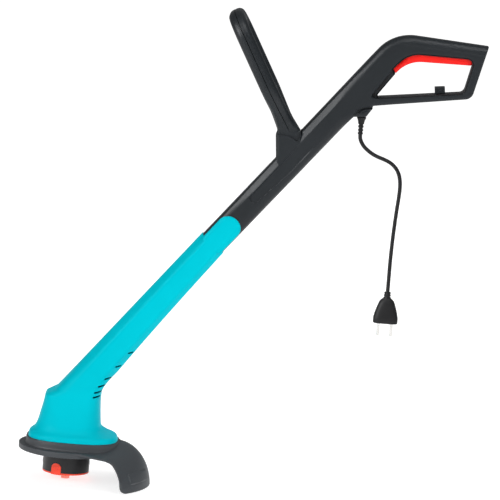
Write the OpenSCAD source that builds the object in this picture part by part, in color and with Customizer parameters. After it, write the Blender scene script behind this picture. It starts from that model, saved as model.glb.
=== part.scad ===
/* [Overall] */
// Angle of the shaft above the horizontal, in degrees
shaft_angle = 51.25; // [51:0.25:51.5]
// Height of the rear grip centre above the guard disc
grip_height = 620; // [615:1:625]
// Distance of the rear grip centre behind the spindle axis
grip_reach = 500; // [490:1:510]

/* [Cutting head] */
// Radius of the cutting head
head_r = 34; // [33:0.5:35]
// Depth of the head's lower rim below the guard disc
head_depth = 40.5; // [40:0.5:42]
// How far the tap knob stands below the rim
knob_drop = 10.5; // [8:0.5:12]
// Radius of the driving shaft
spindle_r = 3; // [2.5:0.5:3]

/* [Guard] */
// Radius of the guard disc
disc_r = 71; // [70:0.5:74]
// Radius of the skirt at its bottom edge
skirt_r = 122; // [116:1:124]
// Depth of the skirt below the disc
skirt_depth = 50; // [44:1:54]
// Half of the angle that the skirt covers
skirt_half_angle = 48; // [40:1:52]
// Height of the raised seat for the motor housing
seat_h = 11; // [10:0.5:12]

/* [Housing] */
// Wall thickness of the shells
wall = 2.5; // [2:0.1:3]
// Half width of the black shaft
shaft_half_w = 19; // [18.5:0.5:20]
// Half width of the rear handle loop
loop_half_w = 16; // [15.5:0.5:17]

/* [Front handle] */
// Outer width of the front handle loop
loop_w = 118; // [110:1:130]
// Length of the front handle from its socket to its top
loop_len = 192; // [184:1:192]
// Thickness of the loop's bar, square to the loop's plane
bar_t = 23; // [20:0.5:23]
// Width of the loop's bar, in the loop's plane
bar_w = 20; // [18:0.5:24]

/* [Controls] */
// Angle that the trigger turns through
trigger_turn = 4.5; // [3:0.5:4.5]
// Width of the trigger
trigger_w = 18; // [16:0.5:19]
// Width of the slot in which the trigger moves
trigger_slot_w = 20; // [19.5:0.5:21]

/* [Cord] */
// Diameter of the mains lead
cord_d = 5.6; // [5:0.1:7]
// Length of a plug pin
pin_len = 19; // [18:0.5:19.5]
// Distance between the plug pins' axes
pin_pitch = 19; // [18:0.5:19.5]

/* [Hidden] */

gap = 0.3;
fine = 96;
loft_sides = 40;

// The shaft's own directions: along it (up and back) and across it (down and back)
shaft_along = [cos(shaft_angle), sin(shaft_angle)];
shaft_across = [sin(shaft_angle), -cos(shaft_angle)];
shaft_start = [-22, 83.3];
function on_shaft(s, d) = shaft_start + s * shaft_along + d * shaft_across;

// Places along the shaft
spigot_s = 262;
sleeve_s = 312;
tongue_s = 362;
spigot_half_w = 14;
black_top_d = 1.8;
black_low_d = 40.6;

// ---- plane outlines, each point is [x, z, corner radius] ----
function unit(v) = v / norm(v);
function corner_arc(a, b, c, r) =
    let (u = unit([a[0], a[1]] - [b[0], b[1]]), v = unit([c[0], c[1]] - [b[0], b[1]]))
    let (half = acos(max(-1, min(1, u * v))) / 2)
    r <= 0 || half > 89 ? [[b[0], b[1]]] :
    let (reach = r / tan(half), mid = unit(u + v) * (r / sin(half)), o = [b[0], b[1]] + mid)
    let (p = [b[0], b[1]] + u * reach - o, q = [b[0], b[1]] + v * reach - o)
    let (sweep = 180 - 2 * half, steps = max(2, ceil(sweep / 9)))
    let (side = p[0] * q[1] - p[1] * q[0] > 0 ? 1 : -1)
    [for (i = [0 : steps]) let (t = side * sweep * i / steps)
        o + [p[0] * cos(t) - p[1] * sin(t), p[0] * sin(t) + p[1] * cos(t)]];
function rounded(points) = let (n = len(points)) [for (i = [0 : n - 1])
    each corner_arc(points[(i + n - 1) % n], points[i], points[(i + 1) % n], points[i][2])];
function with_r(p, r) = [p[0], p[1], r];

body_outline = rounded([
    with_r(on_shaft(sleeve_s, black_low_d), 0),
    with_r(on_shaft(sleeve_s, black_top_d), 0),
    [271, 444.5, 0],
    [268, 480, 1.5],
    [288, 479, 12],
    [301, 471.5, 2],
    [303.5, 486, 1],
    [425.7, 638.6, 62],
    [563, 629.3, 1],
    [544.5, 552.6, 13],
    [404, 531.6, 1.5],
    [404, 527, 1.5],
    [396, 515, 1.5],
    [377, 513, 3]]);
opening_outline = rounded([
    [406.6, 544, 2.5],
    [432.5, 579.8, 1],
    [428.5, 586.5, 1],
    [449, 610.3, 40],
    [543.5, 608.8, 8],
    [532.5, 560.4, 9]]);
spigot_outline = rounded([
    with_r(on_shaft(spigot_s, black_low_d - 4), 2),
    with_r(on_shaft(sleeve_s + 8, black_low_d - 4), 0),
    with_r(on_shaft(sleeve_s + 8, black_top_d + 4), 0),
    with_r(on_shaft(spigot_s, black_top_d + 4), 2)]);
tongue_outline = rounded([
    with_r(on_shaft(sleeve_s - 4, 3.6), 0),
    with_r(on_shaft(tongue_s, 3.8), 17),
    with_r(on_shaft(tongue_s, 39.6), 17),
    with_r(on_shaft(sleeve_s - 4, 39.2), 0)]);

// ---- shared building modules ----
module to_grip() { translate([-grip_reach, 0, -grip_height]) children(); }
module slab(width) { rotate([90, 0, 0]) linear_extrude(width, center = true) children(); }
module across(x, z, y0, y1, r, sides = 48) {
    translate([x, y1, z]) rotate([90, 0, 0]) cylinder(h = y1 - y0, r = r, $fn = sides);
}
module half_space(side) {
    translate([-200, side > 0 ? 0 : -200, -200]) cube([1000, 200, 1100]);
}
module ring(r_out, r_in, z0, z1) {
    translate([0, 0, z0]) difference() {
        cylinder(h = z1 - z0, r = r_out, $fn = fine);
        translate([0, 0, -1]) cylinder(h = z1 - z0 + 2, r = r_in, $fn = fine);
    }
}

// A closed solid through rings of points that all have the same count
module skin(rings) {
    n = len(rings[0]);
    m = len(rings);
    corners = [for (i = [0 : m - 2], j = [0 : n - 1])
        [i * n + j, i * n + (j + 1) % n, (i + 1) * n + (j + 1) % n, (i + 1) * n + j]];
    sides = [for (c = corners) each [[c[0], c[2], c[1]], [c[0], c[3], c[2]]]];
    first_face = [[for (j = [0 : n - 1]) j]];
    last_face = [[for (j = [n - 1 : -1 : 0]) (m - 1) * n + j]];
    polyhedron([for (r = rings) each r], concat(first_face, sides, last_face), convexity = 6);
}

// A round tube along a list of points
function tube_dir(path, i) = unit(path[min(i + 1, len(path) - 1)] - path[max(i - 1, 0)]);
function tube_side(d) = unit(cross(abs(d[1]) > 0.9 ? [1, 0, 0] : [0, 1, 0], d));
module tube(path, r, sides = 8) {
    skin([for (i = [0 : len(path) - 1]) let (d = tube_dir(path, i), u = tube_side(d), v = cross(d, u))
        [for (k = [0 : sides - 1]) path[i] + r * (cos(360 * k / sides) * u + sin(360 * k / sides) * v)]]);
}
// Points at equal steps along a smooth curve through a list of points
function curve_point(p, i, t) =
    let (n = len(p), a = p[max(i - 1, 0)], b = p[i], c = p[min(i + 1, n - 1)], d = p[min(i + 2, n - 1)])
    0.5 * (2 * b + (c - a) * t + (2 * a - 5 * b + 4 * c - d) * t * t
        + (3 * b - 3 * c + d - a) * t * t * t);
function smooth_path(p, steps) = concat(
    [for (i = [0 : len(p) - 2], k = [0 : steps - 1]) curve_point(p, i, k / steps)], [p[len(p) - 1]]);
function coil_points(r, z0, z1, turns, per_turn) = [for (i = [0 : turns * per_turn])
    let (a = 360 * i / per_turn) [r * cos(a), r * sin(a), z0 + (z1 - z0) * i / (turns * per_turn)]];

// ---- black housing ----
housing_bosses = [on_shaft(588, 8), on_shaft(528, 8), on_shaft(411, 33), [415, 577], [551, 617],
    [524, 554.2], [430, 541.8]];
boss_r = 4.4;
screw_r = 1.4;
screw_head_r = 2.8;
trigger_pivot = [536.5, 613];

module body_solid(shrink) {
    slab(2 * (loop_half_w - shrink)) offset(delta = -shrink) difference() {
        polygon(body_outline);
        polygon(opening_outline);
    }
    slab(2 * (shaft_half_w - shrink)) offset(delta = -shrink) intersection() {
        polygon(body_outline);
        polygon([on_shaft(sleeve_s - 5, -20), [250, 500], [330, 545], [398, 590], [412, 531], [340, 400]]);
    }
    slab(2 * (spigot_half_w - shrink)) offset(delta = -shrink) polygon(spigot_outline);
}
module edge_chamfers() {
    // The loop's long edges are bevelled, so that the hand meets no corner
    for (side = [-1, 1])
        translate([0, side * (loop_half_w - 2.5 + 10), 0]) slab(20) difference() {
            translate([396, 500]) square([180, 150]);
            offset(delta = -3) difference() {
                polygon(body_outline);
                polygon(opening_outline);
            }
        }
}
module tongue_recess() {
    for (side = [-1, 1])
        translate([0, side * (shaft_half_w + 8 - wall), 0])
            slab(16) offset(delta = gap) polygon(tongue_outline);
}
module trigger_space() {
    slab(trigger_slot_w) offset(delta = 0.8) for (t = [0, 0.5, 1]) turned_trigger(t * trigger_turn);
}
module socket_space() {
    to_handle() translate([-stem_t / 2 - gap, -stem_w / 2 - gap, -stem_depth - gap])
        cube([stem_t + 2 * gap, stem_w + 2 * gap, stem_depth + 40]);
}
module socket_walls() {
    to_handle() translate([-stem_t / 2 - wall, -stem_w / 2 - wall, -stem_depth - wall])
        cube([stem_t + 2 * wall, stem_w + 2 * wall, stem_depth + wall]);
}
module socket_bolt_hole(y0, y1, r) {
    to_handle() translate([0, y0, socket_w]) rotate([-90, 0, 0]) cylinder(h = y1 - y0, r = r, $fn = 48);
}
module cord_passage() {
    translate([cord_exit[0], cord_exit[1], 490]) cylinder(h = 34, r = 6.2, $fn = 48);
}
module housing_shell() {
    difference() {
        union() {
            difference() {
                body_solid(0);
                body_solid(wall);
                edge_chamfers();
            }
            intersection() {
                body_solid(0);
                union() {
                    socket_walls();
                    for (b = housing_bosses) across(b[0], b[1], -25, 25, boss_r);
                    across(trigger_pivot[0], trigger_pivot[1], -25, 25, 4);
                    socket_bolt_hole(-25, 25, 6.5);
                }
            }
        }
        tongue_recess();
        socket_space();
        trigger_space();
        cord_passage();
        // Way out of the spigot for the motor leads
        slab(18) polygon([on_shaft(spigot_s - 5, 11), on_shaft(spigot_s + 8, 11), on_shaft(spigot_s + 8, 27),
            on_shaft(spigot_s - 5, 27)]);
        across(trigger_pivot[0], trigger_pivot[1], -12.05, 12.05, 2.05);
        socket_bolt_hole(-16, 25, 2.6);
        socket_bolt_hole(15, 25, 5);
        to_handle() translate([0, -16.2, socket_w]) rotate([-90, 0, 0]) cylinder(h = 4, r = 4.6, $fn = 6);
        for (b = housing_bosses) {
            across(b[0], b[1], -12.5, 8, screw_r + 0.05);
            across(b[0], b[1], 5, 30, screw_head_r + 0.3);
        }
    }
}
module housing_half(side) {
    color([0.16, 0.17, 0.19]) to_grip() intersection() {
        housing_shell();
        half_space(side);
    }
}
module housing_left() { housing_half(-1); }
module housing_right() { housing_half(1); }
module screw(x, z, y_head, length) {
    across(x, z, y_head, y_head + 2.2, screw_head_r);
    across(x, z, y_head - length, y_head + 0.1, screw_r);
}
module housing_screws() {
    color([0.7, 0.7, 0.72]) to_grip() for (b = housing_bosses) screw(b[0], b[1], 5.1, 16);
}

// ---- turquoise motor housing ----
// Each station: left point, right point, half depth, squareness of the section
stations = [
    [[-58, 11.3], [73, 11.3], 54, 2.6],
    [[-57, 17], [71, 17], 52.5, 2.6],
    [[-50, 23.5], [57, 23], 46, 2.7],
    [[-46, 32], [47, 31], 42, 2.8],
    [[-42.5, 46], [45, 48], 40.5, 2.9],
    [[-38, 66], [43.8, 68], 39.5, 3],
    [[-36.5, 75], [44.3, 80], 38.5, 3],
    [[-22, 83.3], [48, 90.5], 37, 3],
    [on_shaft(22, 0), [52, 96.5], 34, 3],
    [on_shaft(44, 0), [57, 103.3], 30.5, 3],
    [on_shaft(75, 0), on_shaft(75, 49.4), 27, 3.1],
    [on_shaft(130, 0), on_shaft(130, 47), 23.8, 3.2],
    [on_shaft(210, 0), on_shaft(210, 44.2), 21.8, 3.3],
    [on_shaft(sleeve_s, 0), on_shaft(sleeve_s, 41.8), 21, 3.4]];
function oval(t, n) = sign(t) * pow(abs(t), 2 / n);
function station_point(st, inset, a) =
    let (mid = (st[0] + st[1]) / 2, half = (st[1] - st[0]) / 2, k = 1 - inset / norm(half))
    let (u = oval(cos(a), st[3]) * k)
    [mid[0] + half[0] * u, (st[2] - inset) * oval(sin(a), st[3]), mid[1] + half[1] * u];
// One half of the shell: over the outside of each ring and back along its inside
function half_ring(st) = concat(
    [for (j = [0 : loft_sides / 2]) station_point(st, 0, 360 * j / loft_sides)],
    [for (j = [loft_sides / 2 : -1 : 0]) station_point(st, wall, 360 * j / loft_sides)]);
tongue_half_w = 21;
function boss_on_shaft(s, d, y) = let (p = on_shaft(s, d)) [p[0], p[1], y];
// Each boss: its place, and how far out it reaches to end inside the wall
lower_bosses = [[37.2, 56, 26], [-32.6, 52, 26], boss_on_shaft(128, 39.5, 19), boss_on_shaft(215, 36.5, 18)];
slot_centres = [[38.9, 78.3], [40.8, 85.5], [44.9, 94.4], [53.2, 105.1], [66.7, 123.4], [83.2, 144.4]];
module slots() {
    // Cooling slots along the lower edge, the same on both sides
    for (p = slot_centres, side = [-1, 1])
        translate([p[0], side * 32, p[1]]) rotate([0, -10, 0]) cube([9.5, 52, 2.4], center = true);
}
module lower_half() {
    difference() {
        union() {
            skin([for (st = stations) half_ring(st)]);
            translate([0, (shaft_half_w - wall + gap + tongue_half_w) / 2, 0])
                slab(tongue_half_w - shaft_half_w + wall - gap) polygon(tongue_outline);
            intersection() {
                union() {
                    ring(40.8, motor_r + gap, 32, 35);
                    ring(38.5, motor_r + gap, 56, 59);
                }
                half_space(1);
            }
            for (b = lower_bosses) across(b[0], b[1], 0, b[2], boss_r);
        }
        slots();
        for (b = lower_bosses) across(b[0], b[1], -1, 14.5, screw_r + 0.05);
    }
}
module motor_housing_right() {
    color([0.03, 0.72, 0.8]) to_grip() difference() {
        lower_half();
        for (b = lower_bosses) across(b[0], b[1], 5, 60, screw_head_r + 0.3);
    }
}
module motor_housing_left() { color([0.03, 0.72, 0.8]) to_grip() mirror([0, 1, 0]) lower_half(); }
module motor_housing_screws() {
    color([0.7, 0.7, 0.72]) to_grip() for (b = lower_bosses) screw(b[0], b[1], 5.1, 16);
}

// ---- guard ----
disc_h = 8;
plate = 2.8;
seat_grow = 2.5;
function seat_ring(grow) = [for (j = [0 : loft_sides * 2 - 1]) let (a = 360 * j / (loft_sides * 2))
    [7.5 + (65.5 + grow) * oval(cos(a), 2.6), (54 + grow) * oval(sin(a), 2.6)]];
function skirt_rise(a) = 0.2 + (seat_h - 0.1) * pow(cos(90 * a / skirt_half_angle), 2);
function skirt_point(a, t, inset) = let (r = disc_r - 1 + (skirt_r - disc_r + 1 - inset) * cos(t),
        z = -skirt_depth + (skirt_depth + skirt_rise(a) - inset) * sin(t))
    [r * cos(a), r * sin(a), t > 0 ? z : -skirt_depth];
module skirt() {
    arc_steps = 20;
    drop_steps = 8;
    skin([for (i = [arc_steps : -1 : 0])
        let (a = skirt_half_angle * (2 * i / arc_steps - 1), top = skirt_rise(a))
        concat([[40 * cos(a), 40 * sin(a), top], [40 * cos(a), 40 * sin(a), 0.1 - plate]],
            [[(disc_r - 8) * cos(a), (disc_r - 8) * sin(a), 0.1 - plate]],
            [for (k = [drop_steps : -1 : 0]) skirt_point(a, 90 * k / drop_steps, plate)],
            [for (k = [0 : drop_steps]) skirt_point(a, 90 * k / drop_steps, 0)])]);
}
guard_screw_spots = [[-40, 0], [52, 30], [52, -30]];
cutter_angle = 34;
cutter_r = 107;
cutter_z = -31.6;
module guard() {
    color([0.27, 0.29, 0.3]) to_grip() difference() {
        union() {
            ring(disc_r, disc_r - plate, -disc_h, 0);
            translate([0, 0, -plate]) cylinder(h = plate, r = disc_r, $fn = fine);
            linear_extrude(seat_h) difference() {
                polygon(seat_ring(seat_grow));
                polygon(seat_ring(-0.5));
            }
            translate([0, 0, seat_h - plate]) linear_extrude(plate) polygon(seat_ring(seat_grow));
            skirt();
            // Pad that carries the line cutter
            rotate([0, 0, cutter_angle]) translate([cutter_r - 5, -7, cutter_z]) cube([13, 14, 6]);
            for (p = guard_screw_spots)
                translate([p[0], p[1], -plate]) cylinder(h = seat_h, r = 5, $fn = 48);
        }
        translate([0, 0, -20]) cylinder(h = 60, r = 12, $fn = fine);
        for (p = guard_screw_spots) {
            translate([p[0], p[1], -20]) cylinder(h = 60, r = screw_r + 0.05, $fn = 48);
            translate([p[0], p[1], -20]) cylinder(h = 22, r = screw_head_r + 0.3, $fn = 48);
        }
        rotate([0, 0, cutter_angle]) translate([cutter_r, 0, cutter_z - 1])
            cylinder(h = 6, r = screw_r + 0.05, $fn = 48);
    }
}
module guard_screws() {
    color([0.7, 0.7, 0.72]) to_grip() for (p = guard_screw_spots) translate([p[0], p[1], 0]) {
        translate([0, 0, -0.3]) cylinder(h = 2.2, r = screw_head_r, $fn = 48);
        cylinder(h = seat_h - 0.5, r = screw_r, $fn = 48);
    }
    color([0.7, 0.7, 0.72]) to_grip() rotate([0, 0, cutter_angle]) translate([cutter_r, 0, cutter_z - 3.6]) {
        cylinder(h = 2.2, r = screw_head_r, $fn = 48);
        cylinder(h = 7, r = screw_r, $fn = 48);
    }
}
module line_cutter() {
    // A small steel blade under the skirt trims the line to length
    color([0.75, 0.75, 0.77]) to_grip() rotate([0, 0, cutter_angle]) translate([cutter_r, 0, cutter_z - 1.3])
        difference() {
            union() {
                translate([-5, -9, 0]) cube([10, 18, 1.2]);
                translate([-5, -9, -6]) cube([10, 1.2, 6.1]);
            }
            translate([0, 0, -1]) cylinder(h = 4, r = screw_r + 0.1, $fn = 32);
        }
}

// ---- motor ----
motor_r = 27;
can_z0 = 28;
can_z1 = 66;
module motor_can() { color([0.6, 0.61, 0.63]) to_grip() ring(motor_r, motor_r - 1.6, can_z0, can_z1); }
module motor_magnets() {
    color([0.2, 0.2, 0.21]) to_grip() for (turn = [0, 180]) rotate([0, 0, turn + 25])
        translate([0, 0, can_z0 + 4]) rotate_extrude(angle = 130, $fn = fine)
            translate([armature_r + 0.8, 0]) square([motor_r - 1.9 - armature_r - 0.8, 30]);
}
module motor_bracket() {
    // Front end of the motor, which carries the lower bearing
    color([0.55, 0.56, 0.58]) to_grip() difference() {
        translate([0, 0, can_z0 - 7]) union() {
            cylinder(h = 2, r = motor_r, $fn = fine);
            cylinder(h = 6.8, r = 12, $fn = fine);
        }
        translate([0, 0, can_z0 - 6]) cylinder(h = 10, r = bearing_r + 0.02, $fn = fine);
        translate([0, 0, can_z0 - 10]) cylinder(h = 10, r = spindle_r + 1.5, $fn = 48);
        for (a = [0 : 60 : 300])
            rotate([0, 0, a]) translate([19, 0, can_z0 - 10]) cylinder(h = 8, r = 4, $fn = 32);
    }
}
bearing_r = 8;
bearing_h = 5;
module bearing(z) { ring(bearing_r, spindle_r + 0.03, z, z + bearing_h); }
module lower_bearing() { color([0.8, 0.8, 0.82]) to_grip() bearing(can_z0 - 5.9); }
module upper_bearing() { color([0.8, 0.8, 0.82]) to_grip() bearing(can_z1 + 9); }
module motor_end_bell() {
    color([0.12, 0.12, 0.13]) to_grip() difference() {
        union() {
            translate([0, 0, can_z1 + 0.1]) cylinder(h = 7.9, r = 22, $fn = fine);
            translate([0, 0, can_z1 + 7]) cylinder(h = 8, r = 11, $fn = fine);
        }
        translate([0, 0, can_z1 - 1]) cylinder(h = 7, r = 16.5, $fn = fine);
        translate([0, 0, can_z1 - 1]) cylinder(h = 12, r = spindle_r + 2, $fn = 48);
        translate([0, 0, can_z1 + 8.9]) cylinder(h = 8, r = bearing_r + 0.02, $fn = fine);
        translate([-20, -2.7, can_z1 - 1]) cube([40, 5.4, 6.2]);
    }
}
commutator_r = 8.5;
module carbon_brushes() {
    color([0.25, 0.25, 0.26]) to_grip() for (side = [-1, 1])
        translate([side * (commutator_r + 4.2) - 3.9, -2.4, can_z1 + 0.5]) cube([7.8, 4.8, 4.2]);
}
armature_r = 18.5;
module motor_shaft() {
    color([0.72, 0.72, 0.74]) to_grip() translate([0, 0, spindle_low])
        cylinder(h = can_z1 + 14 - spindle_low, r = spindle_r, $fn = fine);
}
module armature() {
    color([0.72, 0.42, 0.2]) to_grip() {
        difference() {
            translate([0, 0, can_z0 + 5]) cylinder(h = 28, r = armature_r, $fn = fine);
            translate([0, 0, can_z0]) cylinder(h = 40, r = spindle_r + 0.02, $fn = fine);
            for (i = [0 : 9])
                rotate([0, 0, 36 * i]) translate([armature_r - 3, -1, can_z0]) cube([5, 2, 40]);
        }
        ring(14, spindle_r + 0.02, can_z0 + 2, can_z0 + 5);
        ring(13, spindle_r + 0.02, can_z0 + 33, can_z0 + 35.5);
    }
}
module commutator() {
    color([0.8, 0.5, 0.25]) to_grip() ring(commutator_r, spindle_r + 0.02, can_z1 - 1.5, can_z1 + 5.6);
}
module fan() {
    color([0.15, 0.15, 0.16]) to_grip() {
        ring(26, spindle_r + 0.02, 13, 14.5);
        ring(7, spindle_r + 0.02, 14.4, 19.5);
        for (i = [0 : 10]) rotate([0, 0, 360 * i / 11]) translate([9, -0.7, 14.4]) rotate([0, 0, 18])
            cube([16.5, 1.4, 4.8]);
    }
}

// ---- cutting head: cup, cover, spool and tap knob ----
cup_top = -9;
cup_low = 2.5 - head_depth;
spindle_low = cup_top - 10.4;
tab_angles = [-111, 69];
tab_w = 15;
spool_r = 29;
spool_top = cup_top - 10.5;
spool_low = 4.7 - head_depth;
module tab_face() {
    polygon(rounded([[-tab_w / 2, 0, 1], [tab_w / 2, 0, 1], [tab_w / 2, 17.2, 7], [-tab_w / 2, 17.2, 7]]));
}
module spool_housing() {
    color([0.1, 0.1, 0.11]) to_grip() difference() {
        union() {
            ring(head_r, head_r - wall, cup_low, cup_top);
            ring(head_r - 0.5, spindle_r + 0.02, cup_top - 3, cup_top);
            ring(8, spindle_r + 0.02, cup_top - 10.4, cup_top - 2.9);
        }
        for (a = tab_angles) rotate([0, 0, a]) translate([head_r - 5, 0, -head_depth - 1])
            rotate([90, 0, 90]) linear_extrude(10) offset(delta = gap) tab_face();
        for (a = [0, 180]) rotate([0, 0, a]) translate([head_r - 6, 0, -27]) rotate([0, 90, 0])
            cylinder(h = 12, r = 3.02, $fn = 48);
    }
}
module line_eyelets() {
    color([0.75, 0.75, 0.77]) to_grip() for (a = [0, 180]) rotate([0, 0, a])
        translate([head_r - 3, 0, -27]) rotate([0, 90, 0]) difference() {
            cylinder(h = 3.4, r = 3, $fn = 48);
            translate([0, 0, -1]) cylinder(h = 8, r = 1.2, $fn = 32);
        }
}
module spool_cover() {
    color([0.95, 0.25, 0.16]) to_grip() difference() {
        translate([0, 0, -head_depth]) cylinder(h = 2.2, r = head_r, $fn = fine);
        translate([0, 0, -60]) cylinder(h = 60, r = 7, $fn = fine);
        for (a = tab_angles) rotate([0, 0, a]) translate([head_r - 5.3, -tab_w / 2 - gap, -60])
            cube([10, tab_w + 2 * gap, 60]);
    }
}
module release_tab(a) {
    color([0.98, 0.33, 0.22]) to_grip() rotate([0, 0, a]) {
        intersection() {
            ring(head_r + 0.9, head_r - 2.4, -head_depth - 0.5, -24);
            translate([20, 0, -head_depth - 1]) rotate([90, 0, 90]) linear_extrude(30) tab_face();
        }
        for (i = [0 : 2]) translate([head_r + 0.3, -4.5, -38 + 4 * i]) cube([1.5, 9, 1.2]);
    }
}
module release_tab_left() { release_tab(tab_angles[0]); }
module release_tab_right() { release_tab(tab_angles[1]); }
knob_r = 6.4;
module tap_knob() {
    color([0.93, 0.6, 0.55]) to_grip() {
        translate([0, 0, -head_depth - knob_drop]) cylinder(h = knob_drop + 2.7, r = knob_r, $fn = fine);
        translate([0, 0, -head_depth + 2.6]) cylinder(h = 1.8, r = 13, $fn = fine);
        translate([0, 0, -head_depth + 4.3]) cylinder(h = 11, r = 4.5, $fn = fine);
    }
}
module knob_spring() {
    color([0.78, 0.78, 0.8]) to_grip()
        tube(coil_points(10.8, spool_top + 1.1, cup_top - 3.9, 3, 16), 0.7, 6);
}
module spool() {
    color([0.16, 0.16, 0.17]) to_grip() difference() {
        union() {
            translate([0, 0, spool_low]) cylinder(h = 1.8, r = spool_r, $fn = fine);
            translate([0, 0, spool_top - 1.8]) cylinder(h = 1.8, r = spool_r, $fn = fine);
            translate([0, 0, spool_low]) cylinder(h = spool_top - spool_low, r = 13.5, $fn = fine);
        }
        translate([0, 0, -60]) cylinder(h = 60, r = 4.55, $fn = fine);
        translate([0, 0, spool_top - 5]) cylinder(h = 10, r = 9.2, $fn = fine);
    }
}
module line_winding() {
    color([0.85, 0.45, 0.15]) to_grip() ring(23, 13.6, spool_low + 2, spool_top - 2);
}

// ---- trigger and switch ----
trigger_outline = rounded([
    [432.6, 580, 1.5],
    [449, 599.4, 45],
    [541.3, 599.9, 3],
    [541.3, 617, 4],
    [531, 617, 4],
    [531, 613, 1],
    [455, 613, 20],
    [428, 587.5, 1.5]]);
module turned_trigger(a) {
    translate(trigger_pivot) rotate(-a) translate(-trigger_pivot) polygon(trigger_outline);
}
module trigger() {
    color([0.93, 0.13, 0.1]) to_grip() difference() {
        slab(trigger_w) turned_trigger(0);
        // Hollow behind the finger face, open at the top, with pads for the spring and the switch
        slab(trigger_w - 5) difference() {
            translate([0, 5]) offset(delta = -2.5) turned_trigger(0);
            translate([515, 590]) square([40, 40]);
            translate([spring_x - 7, 590]) square([14, 40]);
            translate([plunger_x - 5, 590]) square([20, 40]);
        }
        across(trigger_pivot[0], trigger_pivot[1], -20, 20, 2.05);
    }
}
module trigger_pin() {
    color([0.75, 0.75, 0.77]) to_grip() across(trigger_pivot[0], trigger_pivot[1], -12, 12, 2);
}
spring_x = 462;
module trigger_spring() {
    color([0.78, 0.78, 0.8]) to_grip() translate([spring_x, 0, 0])
        tube(coil_points(3.6, 614.2, 632, 6, 12), 0.5, 6);
}
plunger_x = 508;
module switch_body() {
    color([0.12, 0.12, 0.13]) to_grip() difference() {
        translate([495, -7, 617.6]) cube([25, 14, 10.4]);
        translate([plunger_x, 0, 610]) cylinder(h = 13.5, r = 1.85, $fn = 48);
    }
}
module switch_plunger() {
    color([0.9, 0.9, 0.88]) to_grip() translate([plunger_x, 0, 613.35]) cylinder(h = 6.4, r = 1.8, $fn = 48);
}
module capacitor() { color([0.85, 0.7, 0.2]) to_grip() translate([473, -4.5, 618]) cube([14, 9, 10]); }

// ---- wiring, lead and plug ----
cord_exit = [389.5, 0, 488];
supply_route = [[389.5, 0, 528], [390, 0, 541], [394, 0, 556], [404, 3, 577], [418, 6, 603], [436, 8, 622],
    [456, 9, 626], [476, 9, 623], [494, 9, 622]];
function lead_on_shaft(s, d, y) = let (p = on_shaft(s, d)) [p[0], y, p[1]];
motor_route = [[494, -9, 622], [476, -9, 623], [456, -9, 626], [430, -8, 618], [406, -6, 588],
    lead_on_shaft(620, 22, -6), lead_on_shaft(545, 30, -6), lead_on_shaft(500, 30, -6),
    lead_on_shaft(420, 19, -6), lead_on_shaft(330, 18, -6), lead_on_shaft(215, 18, -6),
    lead_on_shaft(110, 17, -6), lead_on_shaft(50, 18, -5),
    [12, -3, 96], [10, -3, 84]];
module internal_leads_tubes() {
    for (side = [-1.6, 1.6]) tube(smooth_path([for (p = motor_route) p + [0, side, 0]], 3), 1.3, 8);
    for (side = [-1.6, 1.6]) tube(smooth_path([for (p = supply_route) p + [0, side, 0]], 3), 1.3, 8);
}
module motor_leads() { color([0.1, 0.15, 0.5]) to_grip() internal_leads_tubes(); }
module cord_clamp() {
    color([0.2, 0.21, 0.22]) to_grip() difference() {
        translate([379, -5, 531]) cube([22, 9.5, 7.5]);
        translate([389.8, 0, 520]) cylinder(h = 30, r = 3.6, $fn = 48);
        for (x = [382.4, 397.4]) across(x, 534.8, -20, 20, screw_r + 0.05);
    }
}
module cord_clamp_screws() {
    color([0.7, 0.7, 0.72]) to_grip() for (x = [382.4, 397.4]) screw(x, 534.8, 4.6, 12);
}
boot_len = 38;
module cord_boot() {
    color([0.07, 0.07, 0.08]) to_grip() translate(cord_exit) rotate_extrude($fn = 64)
        polygon([[0, 0], [3.3, 0], [3.8, 0.6], [3.8, 2.6], [2.9, 3], [2.9, 4.6], [3.8, 5], [3.8, 7.4],
            [2.9, 7.8], [2.9, 9.6], [3.9, 10], [3.9, 12.6], [3.1, 13], [3.1, 14.6], [4.3, 15], [4.6, 18],
            [5.5, 21], [6.8, 23.8], [6.8, 24.8], [6, 25], [6, 34], [8, 34.2], [8, boot_len], [0, boot_len]]);
}
// The lead's route: out of the boot, a stiff bend to the rear, then hanging to its plug
cord_route = [[389.5, 0, 488], [390, 0, 482], [392.5, 0, 476], [397, 0, 470], [403, 0, 465], [410, 0, 460.5],
    [418, 0, 457], [427, 0, 454], [436, 0, 450], [443.5, 0, 444], [449, 0, 436], [452, 0, 426],
    [453, 0, 415], [452.5, 0, 400], [451, 0, 380], [449.5, 0, 355], [448.5, 0, 330], [448, 0, 305],
    [448, 0, 280], [448, 0, 262]];
module cord() { color([0.07, 0.07, 0.08]) to_grip() tube(smooth_path(cord_route, 2), cord_d / 2, 10); }
plug_top = [448, 0, 262];
plug_len = 46;
module plug_body() {
    color([0.07, 0.07, 0.08]) to_grip() translate(plug_top) difference() {
        union() {
            translate([0, 0, -12]) cylinder(h = 12, r = 5, $fn = 48);
            translate([0, 0, -plug_len]) rotate([90, 0, 0]) linear_extrude(22, center = true)
                polygon(rounded([[-18, 0, 3], [18, 0, 3], [18, 14, 8], [9, 37, 5], [-9, 37, 5], [-18, 14, 8]]));
        }
        for (side = [-1, 1])
            translate([side * pin_pitch / 2, 0, -plug_len - 1]) cylinder(h = 9.2, r = 2.03, $fn = 48);
    }
}
module plug_pins() {
    color([0.85, 0.85, 0.86]) to_grip() translate(plug_top) for (side = [-1, 1])
        translate([side * pin_pitch / 2, 0, -plug_len]) {
            translate([0, 0, -pin_len]) cylinder(h = pin_len, r = 2.4, $fn = fine);
            cylinder(h = 8, r = 2, $fn = fine);
        }
}
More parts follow.
